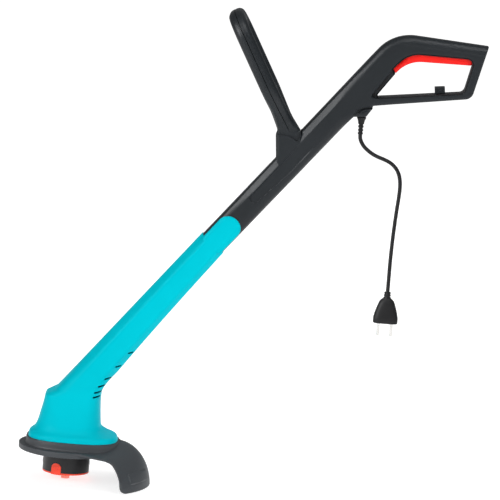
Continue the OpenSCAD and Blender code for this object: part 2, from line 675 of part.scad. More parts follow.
module cord_hook() {
    // Cleat for the extension lead, on the loop's lower bar
    color([0.2, 0.21, 0.22]) to_grip() translate([500, 0, 556.9]) rotate([0, -6.6, 0]) difference() {
        translate([-8.5, -8, 0.1]) cube([14.5, 16, 8.9]);
        // The groove that holds the extension lead's loop
        translate([-20, -3.5, 4]) cube([40, 7, 10]);
        // A recess in each side
        for (side = [-1, 1]) translate([-1.2, side * 8, 4.4]) cube([9.5, 3.2, 5.4], center = true);
    }
}

// ---- front handle ----
handle_foot = [288, 0, 484];
handle_lean = 28.8;
stem_w = 24;
stem_t = 17;
stem_depth = 26;
module to_handle() { translate(handle_foot) rotate([0, -handle_lean, 0]) children(); }
module handle_plate(x0, x1) { translate([x0, 0, 0]) rotate([90, 0, 90]) linear_extrude(x1 - x0) children(); }
module loop_outer() {
    polygon(rounded([[-15, 1.2, 0], [15, 1.2, 0], [15, 9, 30], [loop_w / 2, 62, 45], [loop_w / 2, loop_len, 42],
        [-loop_w / 2, loop_len, 42], [-loop_w / 2, 62, 45], [-15, 9, 30]]));
}
module loop_inner() {
    half = loop_w / 2 - bar_w;
    polygon(rounded([[-9, 26, 9], [9, 26, 9], [half, 70, 30], [half, loop_len - bar_w, 24],
        [-half, loop_len - bar_w, 24], [-half, 70, 30]]));
}
handle_screws = [[-49, 100], [49, 100], [0, loop_len - bar_w / 2]];
foot_outline = [[268.6, 480], [270, 483.5], [266.4, 498.8], [262, 508], [283.6, 516], [291.5, 503],
    [303.2, 486.6], [301, 470], [270, 470]];
foot_half_w = 14;
// The foot that rests on the housing's stub, drawn in the handle's own frame
module handle_foot_block() {
    rotate([0, handle_lean, 0]) translate(-handle_foot) slab(2 * foot_half_w) difference() {
        polygon(foot_outline);
        offset(delta = gap) polygon(body_outline);
    }
}
module handle_shell() {
    difference() {
        union() {
            handle_foot_block();
            handle_plate(-bar_t / 2 + 3, bar_t / 2 - 3) difference() { loop_outer(); loop_inner(); }
            handle_plate(-bar_t / 2, bar_t / 2) offset(delta = -3) difference() { loop_outer(); loop_inner(); }
            translate([-stem_t / 2, -stem_w / 2, -stem_depth]) cube([stem_t, stem_w, stem_depth + 8]);
        }
        handle_plate(-bar_t / 2 + wall, bar_t / 2 - wall) difference() {
            offset(delta = -3 - wall) difference() { loop_outer(); loop_inner(); }
            for (p = handle_screws) translate(p) circle(r = boss_r, $fn = 48);
        }
        for (p = handle_screws) {
            translate([0, p[0], p[1]]) rotate([0, 90, 0])
                cylinder(h = 16, r = screw_r + 0.05, center = true, $fn = 48);
            translate([-20, p[0], p[1]]) rotate([0, 90, 0])
                cylinder(h = 15.2, r = screw_head_r + 0.3, $fn = 48);
        }
        translate([0, 0, socket_w]) rotate([90, 0, 0]) cylinder(h = 60, r = 2.6, center = true, $fn = 48);
        // Pocket for the bolt's nut
        translate([0, 0, socket_w]) rotate([-90, 0, 0]) translate([0, 0, -30])
            cylinder(h = 17.9, r = 4.75, $fn = 6);
    }
}
socket_w = -14;
module front_handle_front() {
    color([0.16, 0.17, 0.19]) to_grip() to_handle() intersection() {
        handle_shell();
        translate([-100, -100, -100]) cube([100, 200, 400]);
    }
}
module front_handle_rear() {
    color([0.16, 0.17, 0.19]) to_grip() to_handle() intersection() {
        handle_shell();
        translate([0, -100, -100]) cube([100, 200, 400]);
    }
}
module front_handle_screws() {
    color([0.7, 0.7, 0.72]) to_grip() to_handle() for (p = handle_screws)
        translate([0, p[0], p[1]]) rotate([0, 90, 0]) {
            translate([0, 0, -7]) cylinder(h = 2.2, r = screw_head_r, $fn = 48);
            translate([0, 0, -5]) cylinder(h = 12, r = screw_r, $fn = 48);
        }
}
module front_handle_bolt() {
    color([0.7, 0.7, 0.72]) to_grip() to_handle() translate([0, 0, socket_w]) rotate([-90, 0, 0]) {
        translate([0, 0, 15.2]) cylinder(h = 3, r = 4.6, $fn = 48);
        translate([0, 0, -15]) cylinder(h = 30.4, r = 2.5, $fn = 48);
    }
}
module front_handle_nut() {
    color([0.7, 0.7, 0.72]) to_grip() to_handle() translate([0, 0, socket_w]) rotate([-90, 0, 0])
        translate([0, 0, -16]) difference() {
            cylinder(h = 3.6, r = 4.4, $fn = 6);
            translate([0, 0, -1]) cylinder(h = 6, r = 2.53, $fn = 48);
        }
}

housing_left();
housing_right();
motor_housing_left();
motor_housing_right();
housing_screws();
motor_housing_screws();
guard();
guard_screws();
line_cutter();
motor_can();
motor_magnets();
motor_bracket();
motor_end_bell();
carbon_brushes();
lower_bearing();
upper_bearing();
motor_shaft();
armature();
commutator();
fan();
spool_housing();
line_eyelets();
spool_cover();
release_tab_left();
release_tab_right();
tap_knob();
knob_spring();
spool();
line_winding();
trigger();
trigger_pin();
trigger_spring();
switch_body();
switch_plunger();
capacitor();
motor_leads();
cord_clamp();
cord_clamp_screws();
cord_boot();
cord();
plug_body();
plug_pins();
cord_hook();
front_handle_front();
front_handle_rear();
front_handle_screws();
front_handle_bolt();
front_handle_nut();
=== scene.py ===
"""String trimmer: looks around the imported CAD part.

The shape code works in millimetres in the head frame: the spindle's axis is X = Y = 0, the guard
disc's top is Z = 0, and the rear grip's centre lies at GRIP. row() turns that into the row frame.
"""
import math

import bmesh
import bpy
import numpy as np
from mathutils import Matrix, Vector
from mathutils.geometry import delaunay_2d_cdt


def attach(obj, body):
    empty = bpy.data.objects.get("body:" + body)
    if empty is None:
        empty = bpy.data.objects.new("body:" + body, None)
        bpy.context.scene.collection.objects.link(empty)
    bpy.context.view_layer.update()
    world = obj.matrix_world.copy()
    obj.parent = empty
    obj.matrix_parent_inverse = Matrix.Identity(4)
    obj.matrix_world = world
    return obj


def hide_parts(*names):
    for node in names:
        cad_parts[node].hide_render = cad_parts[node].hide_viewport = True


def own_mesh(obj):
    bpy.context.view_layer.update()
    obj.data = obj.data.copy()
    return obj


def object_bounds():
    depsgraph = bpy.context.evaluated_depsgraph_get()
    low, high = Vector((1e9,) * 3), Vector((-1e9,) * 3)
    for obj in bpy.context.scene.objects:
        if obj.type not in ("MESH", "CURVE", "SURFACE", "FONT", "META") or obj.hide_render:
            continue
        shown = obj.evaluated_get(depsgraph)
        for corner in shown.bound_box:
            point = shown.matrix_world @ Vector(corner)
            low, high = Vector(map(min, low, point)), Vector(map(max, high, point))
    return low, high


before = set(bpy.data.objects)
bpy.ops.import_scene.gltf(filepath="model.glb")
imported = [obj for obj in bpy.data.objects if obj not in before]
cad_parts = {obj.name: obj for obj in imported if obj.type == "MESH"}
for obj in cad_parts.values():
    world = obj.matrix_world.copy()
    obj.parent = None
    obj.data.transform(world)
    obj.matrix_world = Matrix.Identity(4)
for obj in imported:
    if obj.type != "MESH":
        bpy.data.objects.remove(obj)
cad_low, cad_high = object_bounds()
GRIP = np.array([500.0, 0.0, 620.0])


# ------------------------------------------------------------------ small helpers
def row(points):
    return (np.asarray(points, float) - GRIP) / 1000


def smooth(a, b, x):
    t = np.clip((np.asarray(x, float) - a) / (b - a), 0, 1)
    return t * t * (3 - 2 * t)


def unit(v):
    v = np.asarray(v, float)
    return v / np.linalg.norm(v)


# ------------------------------------------------------------------ camera, first
TARGET = Vector((-0.2559, 0.0, -0.3131))
camera_data = bpy.data.cameras.new("camera")
camera_data.sensor_width = 36.0
camera_data.lens = 252.0
camera_data.clip_end = 30.0
camera = bpy.data.objects.new("camera", camera_data)
bpy.context.scene.collection.objects.link(camera)
elevation, azimuth, roll = (math.radians(a) for a in (8.4, 0.6, 4.5))
back = Vector((math.sin(azimuth) * math.cos(elevation), -math.cos(azimuth) * math.cos(elevation),
               math.sin(elevation)))
level = (-back).cross(Vector((0, 0, 1))).normalized()
upright = level.cross(-back)
right = math.cos(roll) * level + math.sin(roll) * upright
up = -math.sin(roll) * level + math.cos(roll) * upright
place = Matrix((right, up, back)).transposed().to_4x4()
place.translation = TARGET + back * 5.075
camera.matrix_world = place
bpy.context.scene.camera = camera


# ------------------------------------------------------------------ materials
def new_material(name):
    m = bpy.data.materials.new(name)
    m.use_nodes = True
    return m, m.node_tree.nodes["Principled BSDF"]


def add(m, kind, inputs=None, **attributes):
    """A new shader node; each input is a constant or an output socket to link."""
    made = m.node_tree.nodes.new("ShaderNode" + kind)
    for key, value in attributes.items():
        setattr(made, key, value)
    for key, value in (inputs or {}).items():
        if isinstance(value, bpy.types.NodeSocket):
            m.node_tree.links.new(value, made.inputs[key])
        else:
            made.inputs[key].default_value = value
    return made


def wire_noise(m, bsdf, field, stops, roughness, uneven, height, strength, distance_m):
    """Colour and roughness follow one noise field, and the bump follows another."""
    ramp = add(m, "ValToRGB", {"Fac": field})
    for stop, (position, colour) in zip(ramp.color_ramp.elements, stops):
        stop.position = position
        stop.color = (*colour, 1)
    spread = add(m, "MapRange", {"Value": field, "To Min": roughness - uneven, "To Max": roughness + uneven})
    bumps = add(m, "Bump", {"Strength": strength, "Distance": distance_m, "Height": height})
    for made, output, target in ((ramp, "Color", "Base Color"), (spread, "Result", "Roughness"),
                                 (bumps, "Normal", "Normal")):
        m.node_tree.links.new(made.outputs[output], bsdf.inputs[target])


def plastic(name, colour, roughness, grain=900.0, bump=0.15, vary=0.06, specular=0.5):
    """Moulded plastic: fine spark-eroded grain, faint unevenness of colour and of gloss."""
    m, bsdf = new_material(name)
    where = add(m, "TexCoord").outputs["Object"]
    fine = add(m, "TexNoise", {"Vector": where, "Scale": grain, "Detail": 3}).outputs["Fac"]
    wide = add(m, "TexNoise", {"Vector": where, "Scale": 9.0, "Detail": 4}).outputs["Fac"]
    low, high = ([min(1, c * k) for c in colour] for k in (1 - vary, 1 + vary))
    wire_noise(m, bsdf, wide, ((0.3, low), (0.7, high)), roughness, 0.06, fine, bump, 0.00025)
    bsdf.inputs["Specular IOR Level"].default_value = specular
    return m


def metal(name, colour, roughness):
    """Metal with fine lines drawn along it."""
    m, bsdf = new_material(name)
    where = add(m, "TexCoord").outputs["Object"]
    drawn = add(m, "Mapping", {"Vector": where, "Scale": (40.0, 40.0, 900.0)}).outputs["Vector"]
    lines = add(m, "TexNoise", {"Vector": drawn, "Scale": 1.0, "Detail": 4}).outputs["Fac"]
    dark = [c * 0.85 for c in colour]
    wire_noise(m, bsdf, lines, ((0, dark), (1, colour)), roughness, 0.1, lines, 0.06, 0.0001)
    bsdf.inputs["Metallic"].default_value = 1.0
    return m


def add_stipple(m, height, slope, half_width):
    """Stippled band of the grip: the bump grows near the line z = height + slope x (row frame)."""
    bsdf = m.node_tree.nodes["Principled BSDF"]
    where = add(m, "TexCoord").outputs["Object"]
    x, _, z = add(m, "SeparateXYZ", {"Vector": where}).outputs
    line = add(m, "Math", {0: x, 1: -slope, 2: -height}, operation="MULTIPLY_ADD").outputs[0]
    off = add(m, "Math", {0: line, 1: z}, operation="ADD").outputs[0]
    size = add(m, "Math", {0: off}, operation="ABSOLUTE").outputs[0]
    band = add(m, "MapRange", {"Value": size, "From Min": half_width, "From Max": half_width * 1.6,
                               "To Min": 1.0, "To Max": 0.0}, interpolation_type="SMOOTHSTEP")
    reach = add(m, "MapRange", {"Value": x, "From Min": -0.075, "From Max": -0.05},
                interpolation_type="SMOOTHSTEP")
    both = add(m, "Math", {0: band.outputs["Result"], 1: reach.outputs["Result"]},
               operation="MULTIPLY").outputs[0]
    dots = add(m, "TexVoronoi", {"Vector": where, "Scale": 420.0}).outputs["Distance"]
    dimples = add(m, "Math", {0: dots, 1: both}, operation="MULTIPLY").outputs[0]
    grain = bsdf.inputs["Normal"].links[0].from_socket
    bumps = add(m, "Bump", {"Strength": 0.6, "Distance": 0.0006, "Height": dimples, "Normal": grain})
    m.node_tree.links.new(bumps.outputs["Normal"], bsdf.inputs["Normal"])


BLACK = (0.0105, 0.0135, 0.0165)
MATERIALS = {
    "black_plastic": plastic("black_plastic", BLACK, 0.42, bump=0.2, specular=0.3),
    "turquoise_plastic": plastic("turquoise_plastic", (0.0, 0.50, 0.60), 0.42, grain=1400, bump=0.04,
                                 vary=0.015, specular=0.015),
    "guard_plastic": plastic("guard_plastic", (0.046, 0.051, 0.057), 0.52, grain=700, bump=0.3,
                             specular=0.35),
    "head_plastic": plastic("head_plastic", (0.010, 0.010, 0.011), 0.42, bump=0.2, specular=0.4),
    "red_plastic": plastic("red_plastic", (0.86, 0.010, 0.006), 0.42, bump=0.1, vary=0.04, specular=0.25),
    "orange_red_plastic": plastic("orange_red_plastic", (0.92, 0.072, 0.034), 0.42, bump=0.1, vary=0.04,
                                  specular=0.3),
    "pale_red_plastic": plastic("pale_red_plastic", (0.93, 0.42, 0.33), 0.35, bump=0.1, vary=0.05),
    "rubber": plastic("rubber", (0.007, 0.007, 0.008), 0.5, grain=1200, bump=0.2, specular=0.3),
    # Near-black material for the band of painted shade round the hand opening
    "painted_gap_shade": plastic("painted_gap_shade", (0.0028, 0.003, 0.0035), 0.6, grain=1200, bump=0.2, specular=0.1),
    "screw_steel": metal("screw_steel", (0.62, 0.62, 0.64), 0.32),
    "steel": metal("steel", (0.66, 0.66, 0.68), 0.3),
    "magnet": plastic("magnet", (0.05, 0.05, 0.055), 0.6, grain=1500, bump=0.4),
    "copper": metal("copper", (0.75, 0.36, 0.18), 0.35),
    "carbon": plastic("carbon", (0.03, 0.03, 0.032), 0.5, grain=1800, bump=0.4),
    "white_plastic": plastic("white_plastic", (0.8, 0.8, 0.78), 0.4, bump=0.1),
    "yellow_plastic": plastic("yellow_plastic", (0.75, 0.55, 0.08), 0.4, bump=0.1),
    "blue_insulation": plastic("blue_insulation", (0.02, 0.05, 0.35), 0.4, bump=0.1),
    "nylon_line": plastic("nylon_line", (0.85, 0.32, 0.06), 0.28, grain=1500, bump=0.2),
    "pin_metal": metal("pin_metal", (0.82, 0.81, 0.79), 0.22),
}
MATERIALS["grip_plastic"] = plastic("grip_plastic", BLACK, 0.42, bump=0.2, specular=0.3)
add_stipple(MATERIALS["grip_plastic"], 0.0055, -0.062, 0.0045)

NODE_SLOTS = {
    "turquoise_plastic": ["motor_housing_left", "motor_housing_right"],
    "black_plastic": ["housing_left", "housing_right", "front_handle_front", "front_handle_rear",
                      "cord_clamp", "cord_hook"],
    "screw_steel": ["housing_screws", "motor_housing_screws", "guard_screws", "cord_clamp_screws",
                    "front_handle_screws", "front_handle_bolt", "front_handle_nut"],
    "guard_plastic": ["guard"],
    "steel": ["line_cutter", "motor_can", "motor_bracket", "lower_bearing", "upper_bearing",
              "motor_shaft", "line_eyelets", "knob_spring", "trigger_pin", "trigger_spring"],
    "magnet": ["motor_magnets"],
    "head_plastic": ["motor_end_bell", "fan", "spool_housing", "spool", "switch_body"],
    "carbon": ["carbon_brushes"],
    "copper": ["armature", "commutator"],
    "orange_red_plastic": ["spool_cover", "release_tab_left", "release_tab_right"],
    "pale_red_plastic": ["tap_knob"],
    "nylon_line": ["line_winding"],
    "red_plastic": ["trigger"],
    "white_plastic": ["switch_plunger"],
    "yellow_plastic": ["capacitor"],
    "blue_insulation": ["motor_leads"],
    "rubber": ["cord_boot", "cord", "plug_body"],
    "pin_metal": ["plug_pins"],
}
SLOT_OF = {n: s for s, names in NODE_SLOTS.items() for n in names}
for name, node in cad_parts.items():
    node.data.materials.clear()
    node.data.materials.append(MATERIALS[SLOT_OF[name]])
    node.data.shade_smooth()
    node.data.set_sharp_from_angle(angle=math.radians(32))


for name, width in {"spool_housing": 0.5, "spool_cover": 0.4, "cord_hook": 0.8}.items():
    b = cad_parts[name].modifiers.new("soft_edges", "BEVEL")
    b.width = width / 1000
    b.segments = 3
    b.limit_method = "ANGLE"
    b.angle_limit = math.radians(40)
    b.harden_normals = False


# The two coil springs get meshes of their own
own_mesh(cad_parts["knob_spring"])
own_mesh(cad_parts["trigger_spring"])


# ------------------------------------------------------------------ cord and plug
CORD_D = 5.6
CORD_ROUTE = [(x, 0, z) for x, z in (
    (389.5, 488), (390, 482), (392.5, 476), (397, 470), (403, 465), (410, 460.5), (418, 457), (427, 454),
    (436, 450), (443.5, 444), (449, 436), (452, 426), (453, 415), (452.5, 400), (451, 380), (449.5, 355),
    (448.5, 330), (448, 305), (448, 280), (448, 262))]
PLUG_TOP = (448.0, 0.0, 262.0)


def piece(name, mesh, body, slot, *replaced, material=None, sharp=None):
    o = bpy.data.objects.new(name, mesh)
    bpy.context.scene.collection.objects.link(o)
    if isinstance(mesh, bpy.types.Mesh):
        mesh.shade_smooth()
        if sharp:
            mesh.set_sharp_from_angle(angle=math.radians(sharp))
    mesh.materials.append(MATERIALS[material or slot])
    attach(o, body)
    if replaced:
        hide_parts(*replaced)
    return o


def catmull(points, steps):
    """Points at equal parameter steps along a smooth curve through a list of points."""
    p = np.asarray(points, float)
    p = np.vstack([2 * p[0] - p[1], p, 2 * p[-1] - p[-2]])
    out = []
    for i in range(1, len(p) - 2):
        a, b, c, d = p[i - 1:i + 3]
        for k in range(steps):
            t = k / steps
            out.append(0.5 * (2 * b + (c - a) * t + (2 * a - 5 * b + 4 * c - d) * t ** 2
                              + (3 * b - 3 * c + d - a) * t ** 3))
    out.append(p[-2])
    return np.array(out)


cord_curve = bpy.data.curves.new("mains_lead", "CURVE")
cord_curve.dimensions = "3D"
cord_line = catmull(CORD_ROUTE, 5)
spline = cord_curve.splines.new("POLY")
spline.points.add(len(cord_line) - 1)
for point, place_mm in zip(spline.points, row(cord_line)):
    point.co = (*place_mm, 1)
cord_curve.bevel_depth = CORD_D / 2000
cord_curve.bevel_resolution = 6
cord_curve.use_fill_caps = True
cord = piece("mains_lead", cord_curve, "housing", "rubber", "cord")


def mesh_from(name, points, faces, weld=1e-6):
    mesh = bpy.data.meshes.new(name)
    mesh.from_pydata([tuple(p) for p in row(points)], [], [tuple(f) for f in faces])
    tidy_mesh(mesh, weld)
    return mesh


def tidy_mesh(mesh, weld=1e-6):
    b = bmesh.new()
    b.from_mesh(mesh)
    bmesh.ops.remove_doubles(b, verts=b.verts, dist=weld)
    bmesh.ops.dissolve_degenerate(b, edges=b.edges, dist=1e-7)
    bmesh.ops.recalc_face_normals(b, faces=b.faces)
    b.to_mesh(mesh)
    b.free()


def loft(name, rings):
    """Quads between rings of points with equal counts; the end rings are filled."""
    m, n = len(rings), len(rings[0])
    faces = []
    for i in range(m - 1):
        for j in range(n):
            k = (j + 1) % n
            faces.append((i * n + j, i * n + k, (i + 1) * n + k, (i + 1) * n + j))
    faces.append(tuple(range(n))[::-1])
    faces.append(tuple((m - 1) * n + j for j in range(n)))
    return mesh_from(name, np.vstack(rings), faces)


def superellipse(a, b, n, count):
    t = np.linspace(0, 2 * np.pi, count, endpoint=False)
    c, s = np.cos(t), np.sin(t)
    return np.stack([a * np.sign(c) * np.abs(c) ** (2 / n), b * np.sign(s) * np.abs(s) ** (2 / n)], 1)


# Plug: a neck sleeve with grooves, a shoulder, and an oval body that narrows toward the neck.
# Each section: height, half widths, squareness
PLUG_SECTIONS = [
    (0, 3.4, 3.4, 2), (-0.6, 4.6, 4.6, 2), (-2.6, 4.9, 4.9, 2), (-2.8, 4.1, 4.1, 2), (-3.8, 4.1, 4.1, 2),
    (-4.0, 4.95, 4.95, 2), (-6.2, 5, 5, 2), (-6.4, 4.3, 4.3, 2), (-7.4, 4.3, 4.3, 2), (-7.6, 5, 5, 2),
    (-9.2, 5.6, 5.2, 2.1), (-11, 8, 6.4, 2.4), (-14, 10.6, 7.6, 2.7), (-19, 12.6, 8.6, 3),
    (-25, 14.6, 9.5, 3.2), (-31, 16.4, 10.2, 3.4), (-36, 17.5, 10.7, 3.6), (-38, 17.9, 10.95, 3.8),
    (-44.6, 18, 11, 4), (-45.6, 17.6, 10.6, 4), (-46, 16.8, 9.8, 4)]
plug_rings = []
for z, a, b, n in PLUG_SECTIONS:
    ring = superellipse(a, b, n, 64)
    plug_rings.append(np.column_stack([ring[:, 0] + PLUG_TOP[0], ring[:, 1], np.full(64, z + PLUG_TOP[2])]))
plug = piece("plug", loft("plug", plug_rings), "housing", "rubber", "plug_body", sharp=40)
tuple(row(CORD_ROUTE[0]))


# ------------------------------------------------------------------ plane outlines
SHAFT_ANGLE = math.radians(51.25)
ALONG = np.array([math.cos(SHAFT_ANGLE), math.sin(SHAFT_ANGLE)])
ACROSS = np.array([math.sin(SHAFT_ANGLE), -math.cos(SHAFT_ANGLE)])
START = np.array([-22.0, 83.3])
SLEEVE_S, TONGUE_S, TOP_D, LOW_D = 312.0, 362.0, 1.8, 40.6


def on_shaft(s, d):
    return START + s * ALONG + d * ACROSS


def shaft_coords(p):
    q = p - START
    return q @ ALONG, q @ ACROSS


def rounded(points):
    """Outline with round corners; each point is (x, z, corner radius)."""
    out, n = [], len(points)
    for i in range(n):
        a, b, c = (np.array(points[j % n][:2], float) for j in (i - 1, i, i + 1))
        r = points[i][2]
        u, v = unit(a - b), unit(c - b)
        half = math.acos(max(-1, min(1, float(u @ v)))) / 2
        if r <= 0 or half > math.radians(89):
            out.append(b)
            continue
        centre = b + unit(u + v) * r / math.sin(half)
        p, q = b + u * r / math.tan(half) - centre, b + v * r / math.tan(half) - centre
        sweep = math.pi - 2 * half
        steps = max(3, math.ceil(math.degrees(sweep) / 5))
        side = 1 if p[0] * q[1] - p[1] * q[0] > 0 else -1
        for k in range(steps + 1):
            t = side * sweep * k / steps
            out.append(centre + np.array([p[0] * math.cos(t) - p[1] * math.sin(t),
                                          p[0] * math.sin(t) + p[1] * math.cos(t)]))
    return np.array(out)


def area(loop):
    x, z = loop[:, 0], loop[:, 1]
    return 0.5 * float(np.sum(x * np.roll(z, -1) - np.roll(x, -1) * z))


def inside(points, loop):
    x, z = points[:, 0], points[:, 1]
    found = np.zeros(len(points), bool)
    for (x0, z0), (x1, z1) in zip(loop, np.roll(loop, -1, 0)):
        if z0 == z1:
            continue
        hit = (z0 > z) != (z1 > z)
        found ^= hit & (x < (x1 - x0) * (z - z0) / (z1 - z0) + x0)
    return found


def distance(points, line, closed=True):
    best = np.full(len(points), 1e9)
    ends = list(zip(line, np.roll(line, -1, 0)))
    for a, b in ends if closed else ends[:-1]:
        d = b - a
        size = float(d @ d)
        if size < 1e-12:
            continue
        t = np.clip((points - a) @ d / size, 0, 1)
        best = np.minimum(best, np.linalg.norm(points - a - t[:, None] * d, axis=1))
    return best


def dense(loop, step, closed=True):
    """The loop's points, with more along its long edges."""
    out = []
    ends = list(zip(loop, np.roll(loop, -1, 0)))
    for a, b in ends if closed else ends[:-1]:
        n = max(1, int(math.ceil(np.linalg.norm(b - a) / step)))
        out += [a + (b - a) * k / n for k in range(n)]
    if not closed:
        out.append(loop[-1])
    return np.array(out)


def inset_lines(loop, level, step, keep_inside=True):
    """Lines at a distance inside (or outside, for a hole) of a closed loop, as runs of points."""
    turn = 1 if area(loop) > 0 else -1
    if not keep_inside:
        turn = -turn
    n = len(loop)
    made = []
    for i in range(n):
        a, b, c = loop[i - 1], loop[i], loop[(i + 1) % n]
        na = unit([-(b - a)[1], (b - a)[0]]) * turn
        nb = unit([-(c - b)[1], (c - b)[0]]) * turn
        bend = math.degrees(math.acos(max(-1, min(1, float(na @ nb)))))
        m = max(1, int(bend / 9))
        for k in range(m + 1):
            made.append(b + unit(na + (nb - na) * k / m) * level)
        count = max(1, int(np.linalg.norm(c - b) / step))
        made += [b + (c - b) * k / count + nb * level for k in range(1, count)]
    made = np.array(made)
    good = distance(made, loop) > level - 0.02
    good &= inside(made, loop) == keep_inside
    kept, last = [], None
    for p, ok in zip(made, good):
        if ok and (last is None or np.linalg.norm(p - last) > 0.3 * min(step, 1.0)):
            kept.append(p)
            last = p
    return np.array(kept)


class Plate:
    """A surface y = height(x, z) over an outline with holes, meshed along its creases."""

    def __init__(self, outer, holes=(), step=2.5, levels=(), hole_levels=(), creases=(), fill=None):
        self.outer, self.holes = dense(outer, step), [dense(h, step) for h in holes]
        points, edges = [], []

        def add(line, closed):
            base, n = len(points), len(line)
            points.extend(Vector(p) for p in line)
            for i in range(n if closed else n - 1):
                j = (i + 1) % n
                if np.linalg.norm(line[i] - line[j]) < 3 * step:
                    edges.append((base + i, base + j))

        for loop in [self.outer, *self.holes]:
            add(loop, True)
        loops = [self.outer, *self.holes]

        def clear(line, gap):
            keep = inside(line, self.outer)
            for h in self.holes:
                keep &= ~inside(line, h)
            for loop in loops:
                keep &= distance(line, loop) > gap
            return keep

        for level in levels:
            line = inset_lines(self.outer, level, step)
            if len(line):
                add(line[clear(line, level - 0.03 if not self.holes else 0.15)], True)
        for h in self.holes:
            for level in hole_levels:
                line = inset_lines(h, level, step, keep_inside=False)
                if len(line):
                    add(line[clear(line, 0.15)], True)
        for line, closed in creases:
            line = dense(np.asarray(line, float), min(step, 1.5), closed)
            keep = clear(line, 0.12)
            run = []
            for p, ok in zip(line, keep):
                if ok:
                    run.append(p)
                elif run:
                    add(np.array(run), False)
                    run = []
            if run:
                add(np.array(run), closed and bool(keep.all()))
        low, high = self.outer.min(0), self.outer.max(0)
        s = fill or step
        grid = np.array([(x + (0.5 * s if k % 2 else 0), z)
                         for k, z in enumerate(np.arange(low[1], high[1], s * 0.866))
                         for x in np.arange(low[0], high[0], s)])
        grid = grid[clear(grid, 0.35 * s)]
        have = np.array([tuple(p) for p in points])
        far = np.ones(len(grid), bool)
        for part in np.array_split(np.arange(len(grid)), max(1, len(grid) // 400)):
            gaps = np.linalg.norm(grid[part][:, None, :] - have[None, :, :], axis=2).min(1)
            far[part] = gaps > 0.45 * s
        points.extend(Vector(p) for p in grid[far])
        verts, _, tris, *_ = delaunay_2d_cdt(points, edges, [], 0, 1e-5)
        self.points = np.array([tuple(v) for v in verts])
        centre = np.array([self.points[list(t)].mean(0) for t in tris])
        keep = inside(centre, self.outer)
        for h in self.holes:
            keep &= ~inside(centre, h)
        self.faces = [tuple(t) for t, k in zip(tris, keep) if k]
        count = {}
        for t in self.faces:
            for a, b in zip(t, t[1:] + t[:1]):
                key = (min(a, b), max(a, b))
                count[key] = count.get(key, 0) + 1
        self.rim = [(a, b) for t in self.faces for a, b in zip(t, t[1:] + t[:1])
                    if count[(min(a, b), max(a, b))] == 1]

    def solid(self, name, height, base, put):
        """Closed solid between the plane at base and the height; put(p, y) places a point."""
        n = len(self.points)
        top = height(self.points)
        flat = np.full(n, float(base)) if np.isscalar(base) else base(self.points)
        verts = np.vstack([put(self.points, top), put(self.points, flat)])
        faces = [t for t in self.faces] + [tuple(n + i for i in reversed(t)) for t in self.faces]
        faces += [(b, a, n + a, n + b) for a, b in self.rim]
        used = sorted({i for f in faces for i in f})
        new = {old: i for i, old in enumerate(used)}
        return mesh_from(name, verts[used], [tuple(new[i] for i in f) for f in faces], weld=2e-6)


def flat_put(side):
    return lambda p, y: np.column_stack([p[:, 0], side * np.asarray(y), p[:, 1]])


def corner(t, k):
    """Edge profile: 1 at the outline, 0 from t = 1 inwards; k = 1 is a chamfer, 2 is round."""
    t = np.clip(t, 0, 1)
    return 1 - (1 - (1 - t) ** k) ** (1 / k)


# ------------------------------------------------------------------ black housing
def shaft_point(s, d, r):
    return (*on_shaft(s, d), r)


BODY = rounded([shaft_point(SLEEVE_S, LOW_D, 0), shaft_point(SLEEVE_S, TOP_D, 0), (271, 444.5, 0),
                (268, 480, 1.5), (288, 479, 12), (301, 471.5, 2), (303.5, 486, 1), (425.7, 638.6, 62),
                (563, 629.3, 1), (544.5, 552.6, 13), (404, 531.6, 1.5), (404, 527, 1.5), (396, 515, 1.5),
                (377, 513, 3)])
OPENING = rounded([(406.6, 544, 2.5), (432.5, 579.8, 1), (428.5, 586.5, 1), (449, 610.3, 40),
                   (543.5, 608.8, 8), (532.5, 560.4, 9)])
TONGUE = rounded([shaft_point(SLEEVE_S - 4, 3.6, 0), shaft_point(TONGUE_S, 3.8, 17),
                  shaft_point(TONGUE_S, 39.6, 17), shaft_point(SLEEVE_S - 4, 39.2, 0)])
STRIP = np.array([(399.9, 547.4), (401.8, 543.8), (408, 541.6), (412, 545), (433.2, 579.8), (428.8, 586.9),
                  (421.2, 576.8)])
STRIP_CREASE = np.array([(409, 542.2), (402.4, 544.0), (400.4, 547.4), (421.2, 576.8), (429, 587.2)])
OUTLET = rounded([(376.5, 511, 0), (377.8, 516.5, 6), (382.5, 525, 8), (391.5, 528.9, 20), (405, 530.6, 0),
                  (405, 511, 0)])
ARCH = OUTLET[:-1]
LIP = catmull([(386, 519.5), (389.5, 523), (395, 525.4), (401, 526.4), (406, 526.8)], 4)
STUB_LEFT = (np.array([270.9, 444.4]), np.array([277.2, 432.4]))
STUB_RIGHT = (np.array([303.9, 486.3]), np.array([304.2, 467.5]))
HOUSING_BOSSES = [on_shaft(588, 8), on_shaft(528, 8), on_shaft(411, 33), np.array([415, 577]),
                  np.array([551, 617]), np.array([524, 554.2]), np.array([430, 541.8])]


PANEL = rounded([shaft_point(399, TOP_D + 10.8, 2), shaft_point(390, 27, 7)]
                + [shaft_point(s, 26.6 + 4.7 * float(smooth(400, 470, s)), 0) for s in range(402, 561, 6)]
                + [shaft_point(560, TOP_D + 10.8, 0)])


def side_of(p, line):
    a, b = line
    d = b - a
    return (p[:, 0] - a[0]) * d[1] - (p[:, 1] - a[1]) * d[0]


UPPER_LINE = np.vstack([on_shaft(200, TOP_D)[None], on_shaft(560, TOP_D)[None],
                        BODY[(BODY[:, 0] > 330) & (BODY[:, 0] < 530) & (BODY[:, 1] > 612)],
                        [[585, 627.8]]])
STUB_LINE = np.array([(271, 444.5), (268, 480)])


def rear_line():
    keep = []
    n = len(BODY)
    first = int(np.argmin(np.linalg.norm(BODY - np.array([563, 627]), axis=1)))
    for k in range(n):
        p = BODY[(first + k) % n]
        keep.append(p)
        if np.linalg.norm(p - on_shaft(SLEEVE_S, LOW_D)) < 0.5:
            break
    return np.array(keep)


